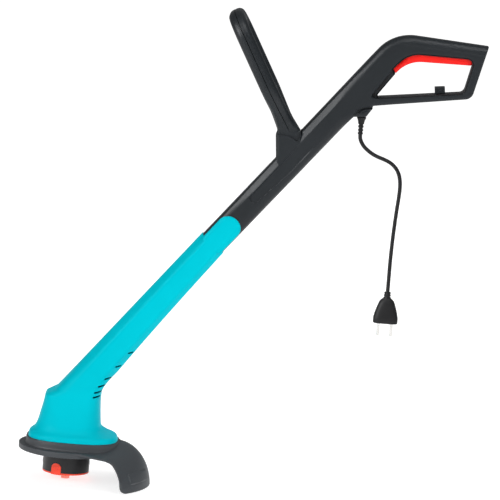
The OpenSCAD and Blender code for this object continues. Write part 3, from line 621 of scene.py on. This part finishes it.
REAR_LINE = rear_line()


def black_height(p):
    x, z = p[:, 0], p[:, 1]
    s, d = shaft_coords(p)
    high = 19 - 3 * smooth(388, 436, x)
    # Upper edge of the shaft: a flat chamfer that turns into the grip's round back
    q = distance(p, UPPER_LINE, closed=False)
    k = 1 + 1.0 * smooth(575, 655, s) + 0.9 * smooth(420, 330, s)
    reach = 10 + 1.4 * smooth(600, 680, s)
    deep = 5.6 + 5.9 * smooth(600, 680, s)
    drop = np.zeros(len(p))
    for power in np.linspace(1, 2.2, 13):
        near = np.abs(k - power) <= 0.0501
        drop[near] = (deep * corner(q / reach, power))[near]
    drop += 5 * smooth(660, 600, s) * corner(q / 2.4, 1.6)
    stub = (side_of(p, STUB_LEFT) < 0) & (side_of(p, STUB_RIGHT) > 0)
    stub &= (z > 430) & (x > 268) & (x < 304.6)
    drop[stub] = 0
    # The handle's socket has its own small edges
    qs = distance(p, STUB_LINE, closed=False)
    small = 2.2 + 2.6 * smooth(8, 0, x - 268)
    drop = np.where(stub, np.maximum(drop, small * corner(qs / (small + 0.2), 1.5)), drop)
    # Lower edge: a wide round under the shaft, and small edges at the outlet, lower bar and rear
    ql = distance(p, REAR_LINE, closed=False)
    wide = smooth(592, 560, s)
    reach = 4 + 10 * wide
    low = (3.6 + 10.9 * wide) * corner(ql / reach, 2.2)
    drop = np.maximum(drop, low)
    # Opening's edge
    qo = distance(p, OPENING)
    drop = np.maximum(drop, 2.4 * corner(qo / 2.8, 2))
    y = high - drop
    # Recessed side panel of the shaft
    edge = distance(p, PANEL) * inside(p, PANEL)
    y = y - 1.1 * smooth(0, 1.0, edge) * smooth(550, 470, s)
    # The cord outlet is set back under an arch, with a lip across it
    arch = distance(p, ARCH, closed=False) * inside(p, OUTLET)
    lip = smooth(1.5, 0.6, distance(p, LIP, closed=False)) * (arch > 1.2)
    y = y - 5.5 * smooth(0, 1.0, arch) + 3.5 * lip
    # The strip in line with the trigger is set back
    crease = distance(p, STRIP_CREASE, closed=False)
    strip = inside(p, STRIP)
    y = np.where(strip, y - 6.5 * smooth(0, 0.9, crease), y)
    return y


def with_recesses(p, y):
    for b in HOUSING_BOSSES:
        r = np.linalg.norm(p - b, axis=1)
        y = np.where(r < 3.0, np.minimum(y, 5.05), y)
    return y


def circle(centre, r, n=24):
    t = np.linspace(0, 2 * np.pi, n, endpoint=False)
    return np.asarray(centre) + r * np.column_stack([np.cos(t), np.sin(t)])


def offset_line(line, by):
    """An open line moved sideways."""
    line = np.asarray(line, float)
    d = np.gradient(line, axis=0)
    n = np.column_stack([-d[:, 1], d[:, 0]])
    return line + by * n / np.linalg.norm(n, axis=1)[:, None]


PANEL_ROUND = np.vstack([PANEL, PANEL[:1]])
black_creases = [(offset_line(PANEL_ROUND, o), False) for o in (-0.05, 0.5, 1.0)]
for ray in (STUB_LEFT, STUB_RIGHT):
    black_creases += [(offset_line(np.array(ray), o), False) for o in (-0.12, 0.12)]
black_creases += [(offset_line(STRIP_CREASE, o), False) for o in (0.01, -0.45, -0.9)]
for d in (TOP_D + 2.4, TOP_D + 10):
    black_creases.append((np.array([on_shaft(s, d) for s in (300, 455)]), False))
    black_creases.append((np.array([on_shaft(s, d) for s in (508, 640)]), False))
black_creases += [(offset_line(ARCH, o), False) for o in (0.05, -0.5, -1.0)]
black_creases += [(offset_line(LIP, o), False) for o in (-1.5, -0.6, 0.6, 1.5)]
LEVELS = (0.25, 0.7, 1.4, 2.4, 4, 6, 8, 10, 12, 14)
HOLE_LEVELS = (0.25, 0.7, 1.5, 2.8)
black_left = Plate(BODY, [OPENING], step=2.5, levels=LEVELS, hole_levels=HOLE_LEVELS,
                   creases=black_creases, fill=3)
recess_rings = [(circle(b, r), True) for b in HOUSING_BOSSES for r in (2.98, 3.12)]
black_right = Plate(BODY, [OPENING], step=2.5, levels=LEVELS, hole_levels=HOLE_LEVELS,
                    creases=black_creases + recess_rings, fill=3)
SEAM = 0.12
piece("housing_shell_left", black_left.solid("housing_shell_left", black_height, SEAM, flat_put(-1)),
      "housing", "black_plastic", "housing_left", material="grip_plastic", sharp=34)
piece("housing_shell_right",
      black_right.solid("housing_shell_right", lambda p: with_recesses(p, black_height(p)), SEAM, flat_put(1)),
      "housing", "black_plastic", "housing_right", material="grip_plastic", sharp=34)


# ------------------------------------------------------------------ turquoise motor housing
# Each station: left point, right point, half depth, squareness, share of the shaft's soft octagon
STATIONS = [((-58, 11.3), (73, 11.3), 54, 2.6, 0), ((-57, 17), (71, 17), 52.5, 2.6, 0),
            ((-50, 23.5), (57, 23), 46, 2.7, 0), ((-46, 32), (47, 31), 42, 2.8, 0),
            ((-42.5, 46), (45, 48), 40.5, 3, 0), ((-38, 66), (43.8, 68), 39.5, 3.6, 0),
            ((-36.5, 75), (44.3, 80), 38.5, 4.2, 0), ((-22, 83.3), (48, 90.5), 37, 4.2, 0.05),
            (on_shaft(22, 0), (52, 96.5), 34, 4, 0.25), (on_shaft(44, 0), (57, 103.3), 30.5, 3.6, 0.55),
            (on_shaft(75, 0), on_shaft(75, 49.4), 27, 3.1, 1),
            (on_shaft(130, 0), on_shaft(130, 47), 23.8, 3.2, 1),
            (on_shaft(210, 0), on_shaft(210, 44.2), 21.8, 3.3, 1),
            (on_shaft(SLEEVE_S, 0), on_shaft(SLEEVE_S, 41.8), 21, 3.4, 1)]
SECTION_N = 44


def monotone(t, y, at):
    """Smooth values through (t, y) with no overshoot."""
    h, slope = np.diff(t), np.diff(y) / np.diff(t)
    m = np.zeros(len(y))
    for i in range(1, len(y) - 1):
        if slope[i - 1] * slope[i] > 0:
            w1, w2 = 2 * h[i] + h[i - 1], h[i] + 2 * h[i - 1]
            m[i] = (w1 + w2) / (w1 / slope[i - 1] + w2 / slope[i])
    m[0], m[-1] = slope[0], slope[-1]
    i = np.clip(np.searchsorted(t, at, side="right") - 1, 0, len(h) - 1)
    u = (at - t[i]) / h[i]
    return ((1 + 2 * u) * (1 - u) ** 2 * y[i] + u * (1 - u) ** 2 * h[i] * m[i]
            + u * u * (3 - 2 * u) * y[i + 1] + u * u * (u - 1) * h[i] * m[i + 1])


def resample(line, count):
    size = np.concatenate([[0], np.cumsum(np.linalg.norm(np.diff(line, axis=0), axis=1))])
    at = np.linspace(0, size[-1], count)
    return np.column_stack([np.interp(at, size, line[:, k]) for k in range(line.shape[1])])


def soft_octagon():
    line = np.array([(1, 0), (1, 0.33), (0.58, 0.975), (0, 1.0), (-0.60, 0.975), (-1, 0.36), (-1, 0)])
    for _ in range(3):
        cut = [line[0]]
        for a, b in zip(line[:-1], line[1:]):
            cut += [a * 0.86 + b * 0.14, a * 0.14 + b * 0.86]
        line = np.array(cut + [line[-1]])
    return resample(line, SECTION_N + 1)


def half_section(n):
    t = np.linspace(0, np.pi, 400)
    c, s_ = np.cos(t), np.abs(np.sin(t))
    return resample(np.column_stack([np.sign(c) * np.abs(c) ** (2 / n), s_ ** (2 / n)]), SECTION_N + 1)


OCTAGON = soft_octagon()


def housing_rings():
    t = np.arange(len(STATIONS), dtype=float)
    steps = [4, 6, 5, 6, 8, 6, 8, 6, 6, 8, 12, 14, 18]
    at = np.concatenate([np.linspace(i, i + 1, k, endpoint=False) for i, k in enumerate(steps)] + [[t[-1]]])
    left = np.array([s[0] for s in STATIONS], float)
    right_ = np.array([s[1] for s in STATIONS], float)
    lx = np.column_stack([monotone(t, left[:, k], at) for k in (0, 1)])
    straight = np.column_stack([np.interp(at, t, left[:, k]) for k in (0, 1)])
    lx[at > 5.0] = straight[at > 5.0]
    rx = np.column_stack([monotone(t, right_[:, k], at) for k in (0, 1)])
    depth = monotone(t, np.array([s[2] for s in STATIONS], float), at)
    power = np.interp(at, t, [s[3] for s in STATIONS])
    octo = np.interp(at, t, [s[4] for s in STATIONS])
    return zip(lx, rx, depth, power, octo)


def shell_half(name, side, thick=2.5):
    rings = []
    for a, b, depth, power, octo in housing_rings():
        mid, half = (a + b) / 2, (b - a) / 2
        sec = half_section(power) * (1 - octo) + OCTAGON * octo
        k = 1 - thick / np.linalg.norm(half)
        outer = np.column_stack([mid[0] + half[0] * sec[:, 0], side * (SEAM + (depth - SEAM) * sec[:, 1]),
                                 mid[1] + half[1] * sec[:, 0]])
        inner = np.column_stack([mid[0] + half[0] * sec[:, 0] * k,
                                 side * (SEAM + (depth - SEAM - thick) * sec[:, 1]),
                                 mid[1] + half[1] * sec[:, 0] * k])
        rings.append(np.vstack([outer, inner[::-1]]))
    return loft(name, rings)


def box_mesh(size, place_at, turn=0.0):
    """Corners of a box, turned about Y by an angle in degrees, and its faces."""
    c, s_ = math.cos(math.radians(turn)), math.sin(math.radians(turn))
    pts = []
    for x in (-0.5, 0.5):
        for y in (-0.5, 0.5):
            for z in (-0.5, 0.5):
                px, py, pz = x * size[0], y * size[1], z * size[2]
                pts.append((place_at[0] + c * px - s_ * pz, place_at[1] + py, place_at[2] + s_ * px + c * pz))
    return pts, [(0, 1, 3, 2), (4, 6, 7, 5), (0, 4, 5, 1), (2, 3, 7, 6), (0, 2, 6, 4), (1, 5, 7, 3)]


def cut(o, points, faces):
    """Takes closed meshes out of an object's mesh."""
    tool = bpy.data.objects.new("tool", mesh_from("tool", points, faces))
    bpy.context.scene.collection.objects.link(tool)
    m = o.modifiers.new("cut", "BOOLEAN")
    m.operation, m.solver, m.object = "DIFFERENCE", "EXACT", tool
    bpy.context.view_layer.update()
    made = bpy.data.meshes.new_from_object(o.evaluated_get(bpy.context.evaluated_depsgraph_get()))
    o.modifiers.clear()
    old = o.data
    o.data = made
    made.name = old.name
    bpy.data.meshes.remove(old)
    bpy.data.objects.remove(tool)


# Cooling slots: centre's x and z, and length
SLOTS = [(38.5, 78.3, 10), (40.4, 85.5, 10.4), (44.5, 94.4, 9.6), (52.8, 105.1, 9.4), (66.3, 123.4, 8),
         (82.8, 144.4, 7.4)]
LOWER_BOSSES = [(37.2, 56), (-32.6, 52), on_shaft(128, 39.5), on_shaft(215, 36.5)]


def turquoise_half(side):
    word = "left" if side < 0 else "right"
    o = piece("motor_shell_" + word, shell_half("motor_shell_" + word, side), "housing", "turquoise_plastic",
              "motor_housing_" + word, sharp=38)
    pts, faces = [], []
    for x, z, long in SLOTS:
        p, f = box_mesh((long, 56, 2.6), (x + 0.2, side * 33, z), 10)
        faces += [tuple(i + len(pts) for i in q) for q in f]
        pts += p
    if side > 0:
        for b in LOWER_BOSSES:
            ring = circle(b, 3.1, 32)
            base = len(pts)
            pts += [(x, 5.1, z) for x, z in ring] + [(x, 70, z) for x, z in ring]
            faces += [tuple(range(base, base + 32)), tuple(range(base + 63, base + 31, -1))]
            faces += [(base + i, base + 32 + i, base + 32 + (i + 1) % 32, base + (i + 1) % 32)
                      for i in range(32)]
    cut(o, pts, faces)
    o.data.shade_smooth()
    o.data.set_sharp_from_angle(angle=math.radians(38))
    return o


for side in (-1, 1):
    turquoise_half(side)

# Painted shade: a black sheet on the middle plane, behind the cooling slots, stands in for the shaded inside
# seen through them
SLOT_SHADE_SHEET = rounded([(30, 69, 1), (41.6, 69, 1), (45.5, 90.5, 3), (53.5, 103.8, 5), (*on_shaft(80, 45.8), 8),
                  (*on_shaft(140, 44.0), 1), (*on_shaft(140, 26), 1), (*on_shaft(60, 24), 10), (30, 82, 3)])
slot_shade_plate = Plate(SLOT_SHADE_SHEET, step=3, fill=6)
piece("slot_shade_sheet", slot_shade_plate.solid("slot_shade_sheet", lambda p: np.full(len(p), 0.6), -0.6, flat_put(1)),
      "housing", "head_plastic", "motor_housing_left")

OCT_ORDER = np.argsort(OCTAGON[:, 0])


def tongue_height(p):
    s, d = shaft_coords(p)
    u = (d - 20.9) / 20.9
    y = 21 * np.interp(u, OCTAGON[OCT_ORDER, 0], OCTAGON[OCT_ORDER, 1])
    under = black_height(p)
    y = np.maximum(y - 1.6 * smooth(SLEEVE_S + 4, TONGUE_S, s), under + 1.5)
    edge = distance(p, TONGUE)
    return y - np.where(s > SLEEVE_S - 3, 1.1 * corner(edge / 1.3, 2), 0)


tongue_plate = Plate(TONGUE, step=1.6, levels=(0.2, 0.6, 1.3), fill=2.2)
for side, word in ((-1, "left"), (1, "right")):
    mesh = tongue_plate.solid("tongue_" + word, tongue_height, lambda p: black_height(p) - 0.6, flat_put(side))
    piece("tongue_" + word, mesh, "housing", "turquoise_plastic", "motor_housing_" + word, sharp=40)


# ------------------------------------------------------------------ front handle
HANDLE_FOOT, LEAN = np.array([288.0, 0.0, 484.0]), math.radians(28.8)
LOOP_OUTER = rounded([(-15, 1.2, 0), (15, 1.2, 0), (15, 9, 30), (59, 62, 45), (59, 192, 42),
                      (-59, 192, 42), (-59, 62, 45), (-15, 9, 30)])
LOOP_INNER = rounded([(-9, 26, 9), (9, 26, 9), (39, 70, 30), (39, 172, 24), (-39, 172, 24), (-39, 70, 30)])
HANDLE_SCREWS = [(-49, 100), (49, 100), (0, 182)]


def handle_put(side):
    def put(p, y):
        lx, lz = side * np.asarray(y), p[:, 1]
        return np.column_stack([HANDLE_FOOT[0] + math.cos(LEAN) * lx - math.sin(LEAN) * lz, p[:, 0],
                                HANDLE_FOOT[2] + math.sin(LEAN) * lx + math.cos(LEAN) * lz])
    return put


def handle_height(side):
    def height(p):
        h = p[:, 1]
        full = 11.5 + (3.7 * smooth(46, 2, h) if side < 0 else 0.4 * smooth(30, 2, h))
        foot = smooth(14, 4, h)
        q = distance(p, LOOP_OUTER[LOOP_OUTER[:, 1] > 1.5], closed=False)
        round_ = 8.5 - 4 * foot
        drop = (9.2 - 4 * foot) * corner(q / round_, 2.1)
        qi = distance(p, LOOP_INNER)
        drop = np.maximum(drop, 9.2 * corner(qi / 8.5, 2.1))
        y = full - drop
        if side < 0:
            for b in HANDLE_SCREWS:
                y = np.where(np.linalg.norm(p - np.array(b), axis=1) < 3.0, np.minimum(y, 7.0), y)
        return y
    return height


def handle_seam(p):
    """The parting plane, with a small groove along the outline."""
    return 0.05 + 0.45 * smooth(1.2, 0, np.minimum(distance(p, LOOP_OUTER), distance(p, LOOP_INNER)))


handle_levels = (0.2, 0.7, 1.5, 2.6, 4, 5.6, 7.2, 8.5)
for side, word in ((-1, "front"), (1, "rear")):
    rings = [(circle(b, r), True) for b in HANDLE_SCREWS for r in (2.98, 3.12)] if side < 0 else []
    plate = Plate(LOOP_OUTER, [LOOP_INNER], step=2.4, levels=handle_levels, hole_levels=handle_levels,
                  creases=rings, fill=3)
    mesh = plate.solid("handle_" + word, handle_height(side), handle_seam, handle_put(side))
    piece("handle_" + word, mesh, "housing", "black_plastic", "front_handle_" + word, sharp=38)


# The foot fills the wedge between the leaning loop and the housing's stub
FOOT = rounded([(268.8, 479.8, 0.5), (270.2, 484.5, 3), (266.4, 498.8, 20), (261.5, 508, 1), (283.6, 516, 1),
                (291.5, 503, 30), (303.1, 486.6, 1), (300.9, 471.2, 0.5), (288.1, 478.7, 12)])
FOOT_EDGES = [(261.5, 508), (266.4, 498.8), (270.2, 486)], [(283.6, 516), (291.5, 503), (302, 489)]


def foot_height(p):
    q = np.minimum(*(distance(p, np.array(line, float), closed=False) for line in FOOT_EDGES))
    return 15 + 1.6 * smooth(486, 479, p[:, 1]) - 4.5 * corner(q / 5, 2.1) * smooth(474, 488, p[:, 1])


foot_plate = Plate(FOOT, step=1.6, levels=(0.4, 1.2, 2.4, 4), fill=2.5)
foot_sides = [foot_plate.solid("foot_side", foot_height, 0, flat_put(side)) for side in (-1, 1)]


# ------------------------------------------------------------------ trigger
TRIGGER = rounded([(432.6, 580, 1.5), (449, 599.4, 45), (541.3, 599.9, 3), (541.3, 617, 4), (531, 617, 4),
                   (531, 613, 1), (455, 613, 20), (428, 587.5, 1.5)])


def trigger_height(p):
    q = distance(p, TRIGGER)
    return 9 - 2.6 * corner(q / 3.2, 2.1) - 0.25 * smooth(6, 0, np.abs(q - 7.5))


trigger_plate = Plate(TRIGGER, step=1.8, levels=(0.2, 0.6, 1.2, 2.1, 3.2), fill=2.5)
both = [trigger_plate.solid("trigger_side", trigger_height, 0, flat_put(side)) for side in (-1, 1)]


def join_meshes(name, meshes):
    b = bmesh.new()
    for m in meshes:
        b.from_mesh(m)
        bpy.data.meshes.remove(m)
    made = bpy.data.meshes.new(name)
    # Faces on the middle plane go, so that the two sides make one body
    inner = [f for f in b.faces if all(abs(v.co.y) < 1e-7 for v in f.verts)]
    bmesh.ops.delete(b, geom=inner, context="FACES")
    bmesh.ops.remove_doubles(b, verts=b.verts, dist=2e-6)
    bmesh.ops.recalc_face_normals(b, faces=b.faces)
    b.to_mesh(made)
    b.free()
    return made


piece("trigger_lever_cover", join_meshes("trigger_lever_cover", both), "trigger_lever", "red_plastic", "trigger",
      sharp=38)
piece("handle_foot", join_meshes("handle_foot", foot_sides), "housing", "black_plastic", "front_handle_front",
      "front_handle_rear", sharp=38)

# Painted shade: dark rubber-coloured inserts on the floor of the set-back strips stand in for the shade in the
# deep recess
STRIP_FLOOR = rounded([(402.0, 547.6, 1.5), (403.6, 544.9, 1), (407.2, 545.3, 1), (432.2, 579.6, 0.5),
                       (428.7, 585.6, 0.5), (422.2, 575.9, 3)])
strip_shade_plate = Plate(STRIP_FLOOR, step=2, fill=4)
for side, word in ((-1, "left"), (1, "right")):
    mesh = strip_shade_plate.solid("strip_shade_side", lambda p: black_height(p) + 0.25,
                             lambda p: black_height(p) - 1, flat_put(side))
    piece("loop_strip_shade_" + word, mesh, "housing", "rubber", "housing_" + word, sharp=40)


# Painted shade: a very dark band lines the opening's edge and stands in for the shadow line where the edge
# overhangs the trigger
shade_band_outer, shade_band_inner = (inset_lines(OPENING, by, 2.0, keep_inside=False) for by in (1.9, 0.15))
shade_band_plate = Plate(shade_band_outer, [shade_band_inner], step=1.6, levels=(0.5,), fill=2)
for side, word in ((-1, "left"), (1, "right")):
    mesh = shade_band_plate.solid("opening_shade_band", lambda p: black_height(p) + 0.15,
                            lambda p: black_height(p) - 1, flat_put(side))
    piece("opening_shade_band_" + word, mesh, "housing", "rubber", "housing_" + word,
          material="painted_gap_shade", sharp=40)


# ------------------------------------------------------------------ guard
DISC_R, DISC_H, PLATE_T, SEAT_H, SKIRT_R, SKIRT_DEPTH, SKIRT_HALF = 71.0, 8.0, 2.8, 11.0, 122.0, 50.0, 48.0


def seat_radius(a, grow):
    """Distance from the spindle's axis to the seat's edge in a direction."""
    t = np.linspace(0, 2 * np.pi, 1441)
    c, s_ = np.cos(t), np.sin(t)
    x = 7.5 + (65.5 + grow) * np.sign(c) * np.abs(c) ** (2 / 2.6)
    y = (54 + grow) * np.sign(s_) * np.abs(s_) ** (2 / 2.6)
    ang, r = np.unwrap(np.arctan2(y, x)), np.hypot(x, y)
    return float(np.interp(a % (2 * np.pi), ang - ang[0], r))


def skirt_rise(a_deg):
    return 0.1 + 10.8 * np.cos(np.radians(np.clip(90 * a_deg / SKIRT_HALF, -90, 90))) ** 2


def guard_profile(a):
    """Points (r, z) of the guard's section in a direction: over the top from the hole, and back beneath."""
    deg = math.degrees((a + math.pi) % (2 * math.pi) - math.pi)
    on_skirt = abs(deg) < SKIRT_HALF - 0.01
    rise = float(skirt_rise(deg)) if on_skirt else 0.0
    lip_r = min(seat_radius(a, 2.5), 78.0)
    seat_in = seat_radius(a, -3)
    top = [(13, SEAT_H - 3.0), (seat_in - 1.5, SEAT_H - 3.0), (seat_in - 0.5, SEAT_H - 0.3), (seat_in, SEAT_H)]
    outer = [(lip_r - 0.9, SEAT_H), (lip_r - 0.25, SEAT_H - 0.3), (lip_r, SEAT_H - 1.0)]
    low = rise if rise < SEAT_H - 1.6 else SEAT_H - 1.6
    outer += [(lip_r + 0.15, low + (SEAT_H - 1.0 - low) * 0.5),
              (lip_r + 0.3, low + 1.2 * min(1, (SEAT_H - low) / 3)),
              (lip_r + 0.8, low + 0.35), (lip_r + 1.6, low)]
    return top + outer, low


def guard_rings():
    spans = ((-180, -SKIRT_HALF - 3, 50), (-SKIRT_HALF - 1.5, -SKIRT_HALF + 1.5, 9),
             (-SKIRT_HALF + 3, SKIRT_HALF - 3, 56), (SKIRT_HALF - 1.5, SKIRT_HALF + 1.5, 9),
             (SKIRT_HALF + 3, 180, 50))
    angles = np.radians(np.concatenate([np.linspace(*span) for span in spans])[:-1])
    rings = []
    for a in angles:
        start, low = guard_profile(a)
        first = start[-1][0]
        if first < DISC_R - 3:
            flat = [(r, low) for r in np.linspace(max(first, 60) + 0.5, DISC_R - 1.2, 6)]
        else:
            flat = [(first + (DISC_R - 0.7 - first) * k / 6, low) for k in range(1, 7)]
        lip = DISC_R - PLATE_T
        rim = [(DISC_R - 0.5, low - 0.1), (DISC_R - 0.1, low - 0.5), (DISC_R, low - 1.2), (DISC_R, -4),
               (DISC_R, -DISC_H + 0.8), (DISC_R - 0.3, -DISC_H + 0.2), (DISC_R - 1, -DISC_H),
               (lip + 0.3, -DISC_H), (lip, -DISC_H + 0.6), (lip - 0.2, -PLATE_T - 0.8), (lip - 1, -PLATE_T),
               (40, -PLATE_T), (13, -PLATE_T)]
        prof = np.array(start + flat + rim, float)
        rings.append(np.column_stack([prof[:, 0] * math.cos(a), prof[:, 0] * math.sin(a), prof[:, 1]]))
    return rings


def ring_loft(name, rings):
    """A closed loft whose rings run right round."""
    m, n = len(rings), len(rings[0])
    faces = [(i * n + j, i * n + (j + 1) % n, ((i + 1) % m) * n + (j + 1) % n, ((i + 1) % m) * n + j)
             for i in range(m) for j in range(n)]
    return mesh_from(name, np.vstack(rings), faces)


# The skirt's half angle at each height on its arc, from its foot (0 degrees) to the disc (90 degrees)
EDGE_ARC = (0, 12, 50, 55.5, 61.5, 65, 70, 76, 83, 90, 96)
EDGE_ANGLE = (46.4, 46.2, 46.0, 46.8, 49.5, 52.8, 58, 64, 70, 75, 78)
CORNER_R = 12


def skirt_sheet(inset, a_count=73, t_count=34):
    """Grid of points over the skirt: across it, and from the disc down to its lower edge."""
    grid = np.zeros((a_count, t_count, 3))
    for i, share in enumerate(np.linspace(-1, 1, a_count)):
        for j in range(t_count):
            f = j / (t_count - 1)
            arc = 96.0 * (1 - f)
            wide = share * float(np.interp(arc, EDGE_ARC, EDGE_ANGLE))
            from_side = (1 - abs(share)) * math.radians(EDGE_ANGLE[0]) * SKIRT_R
            lift = CORNER_R - math.sqrt(max(0.0, CORNER_R ** 2 - (CORNER_R - min(CORNER_R, from_side)) ** 2))
            rise = float(skirt_rise(wide))
            t = math.radians(arc)
            r = (DISC_R - 1) + (SKIRT_R - DISC_R + 1 - inset) * math.cos(t) + 2.4 * (1 - math.sin(t)) ** 2
            z = -SKIRT_DEPTH + (SKIRT_DEPTH + rise - inset) * math.sin(t)
            z = z + lift * (1 - math.sin(t)) ** 1.5
            a = math.radians(wide)
            grid[i, j] = (r * math.cos(a), r * math.sin(a), z)
    return grid


def skirt_panel(grid, amount):
    """Raises a blank rectangular panel near the skirt's lower edge, on the near side."""
    raised = grid.copy()
    for i in range(grid.shape[0]):
        for j in range(grid.shape[1]):
            x, y, z = grid[i, j]
            deg = math.degrees(math.atan2(y, x))
            inside_a = min(deg + 36, -9 - deg) * 1.8
            inside_z = min(z + 38.5, -24 - z)
            k = float(smooth(0, 0.7, inside_a)) * float(smooth(0, 0.7, inside_z))
            n = unit([x, y, 30])
            raised[i, j] = grid[i, j] + n * amount * k
    return raised


def skirt_mesh(name):
    outer = skirt_panel(skirt_sheet(0, 181, 90), 1.3)
    inner = skirt_sheet(PLATE_T, 181, 90)
    m, n = outer.shape[:2]
    pts = np.vstack([outer.reshape(-1, 3), inner.reshape(-1, 3)])
    faces = []
    for i in range(m - 1):
        for j in range(n - 1):
            a, b, c, d = i * n + j, i * n + j + 1, (i + 1) * n + j + 1, (i + 1) * n + j
            faces += [(a, b, c, d), tuple(m * n + k for k in (d, c, b, a))]
    border = [(0, j) for j in range(n)] + [(i, n - 1) for i in range(1, m)]
    border += [(m - 1, j) for j in range(n - 2, -1, -1)] + [(i, 0) for i in range(m - 2, 0, -1)]
    ids = [i * n + j for i, j in border]
    for a, b in zip(ids, ids[1:] + ids[:1]):
        faces.append((b, a, m * n + a, m * n + b))
    return mesh_from(name, pts, faces)


piece("guard_disc", ring_loft("guard_disc", guard_rings()), "housing", "guard_plastic", "guard", sharp=36)
piece("guard_skirt", skirt_mesh("guard_skirt"), "housing", "guard_plastic", "guard", sharp=36)


# ------------------------------------------------------------------ studio
MIDDLE = (-0.25, 0.0, -0.32)


def area_light(name, place_at, size, power, diffuse=True, glossy=True):
    """A square soft box, facing the object's middle."""
    data = bpy.data.lights.new(name, "AREA")
    data.size = size
    data.energy = power
    o = bpy.data.objects.new(name, data)
    bpy.context.scene.collection.objects.link(o)
    o.location = place_at
    o.visible_camera, o.visible_diffuse, o.visible_glossy = False, diffuse, glossy
    o.rotation_euler = (Vector(MIDDLE) - o.location).to_track_quat("-Z", "Y").to_euler()


area_light("front", (2.4, -3.0, 0.9), 2.2, 72, glossy=False)
area_light("front_left", (-2.4, -2.7, 1.2), 1.8, 60, glossy=False)
area_light("side_box", (-2.71, -2.17, 1.13), 2.0, 120, diffuse=False)
area_light("top_box", (0.3, -1.7, 2.9), 1.8, 60, diffuse=False)
area_light("overhead", (0.0, 0.8, 3.2), 2.4, 40, glossy=False)
area_light("rear", (0.5, 3.2, 1.4), 2.4, 60, glossy=False)

floor_z = float(cad_low[2])


def round_sheet(name, profile, glow, lights_object):
    """A sheet turned about the object, from (radius, height) points; glow is its own brightness."""
    count = 96
    turn = np.linspace(0, 2 * np.pi, count, endpoint=False)
    verts = [(MIDDLE[0] + r * math.cos(a), r * math.sin(a), floor_z + z) for r, z in profile for a in turn]
    faces = []
    for i in range(len(profile) - 1):
        for j in range(count):
            k = (j + 1) % count
            faces.append((i * count + j, i * count + k, (i + 1) * count + k, (i + 1) * count + j))
    mesh = bpy.data.meshes.new(name)
    mesh.from_pydata(verts, [], faces)
    mesh.shade_smooth()
    material, bsdf = new_material(name)
    bsdf.inputs["Base Color"].default_value = (0.5, 0.5, 0.5, 1)
    bsdf.inputs["Roughness"].default_value = 0.95
    bsdf.inputs["Emission Color"].default_value = (1, 1, 1, 1)
    bsdf.inputs["Emission Strength"].default_value = glow
    mesh.materials.append(material)
    sheet = bpy.data.objects.new(name, mesh)
    bpy.context.scene.collection.objects.link(sheet)
    sheet.visible_diffuse = sheet.visible_glossy = lights_object


round_sheet("floor", [(0.001, 0), (4, 0)], 0.75, True)
WALL = [(9 + 3 * math.sin(t), 3 - 3 * math.cos(t)) for t in np.linspace(0, math.pi / 2, 16)]
round_sheet("backdrop", [(4, 0)] + WALL + [(12, 12)], 0.95, False)

world = bpy.data.worlds.new("studio")
bpy.context.scene.world = world
world.use_nodes = True
world.node_tree.nodes["Background"].inputs["Color"].default_value = (1, 1, 1, 1)
world.node_tree.nodes["Background"].inputs["Strength"].default_value = 0.22
bpy.context.scene.view_settings.view_transform = "Standard"

bpy.context.view_layer.update()
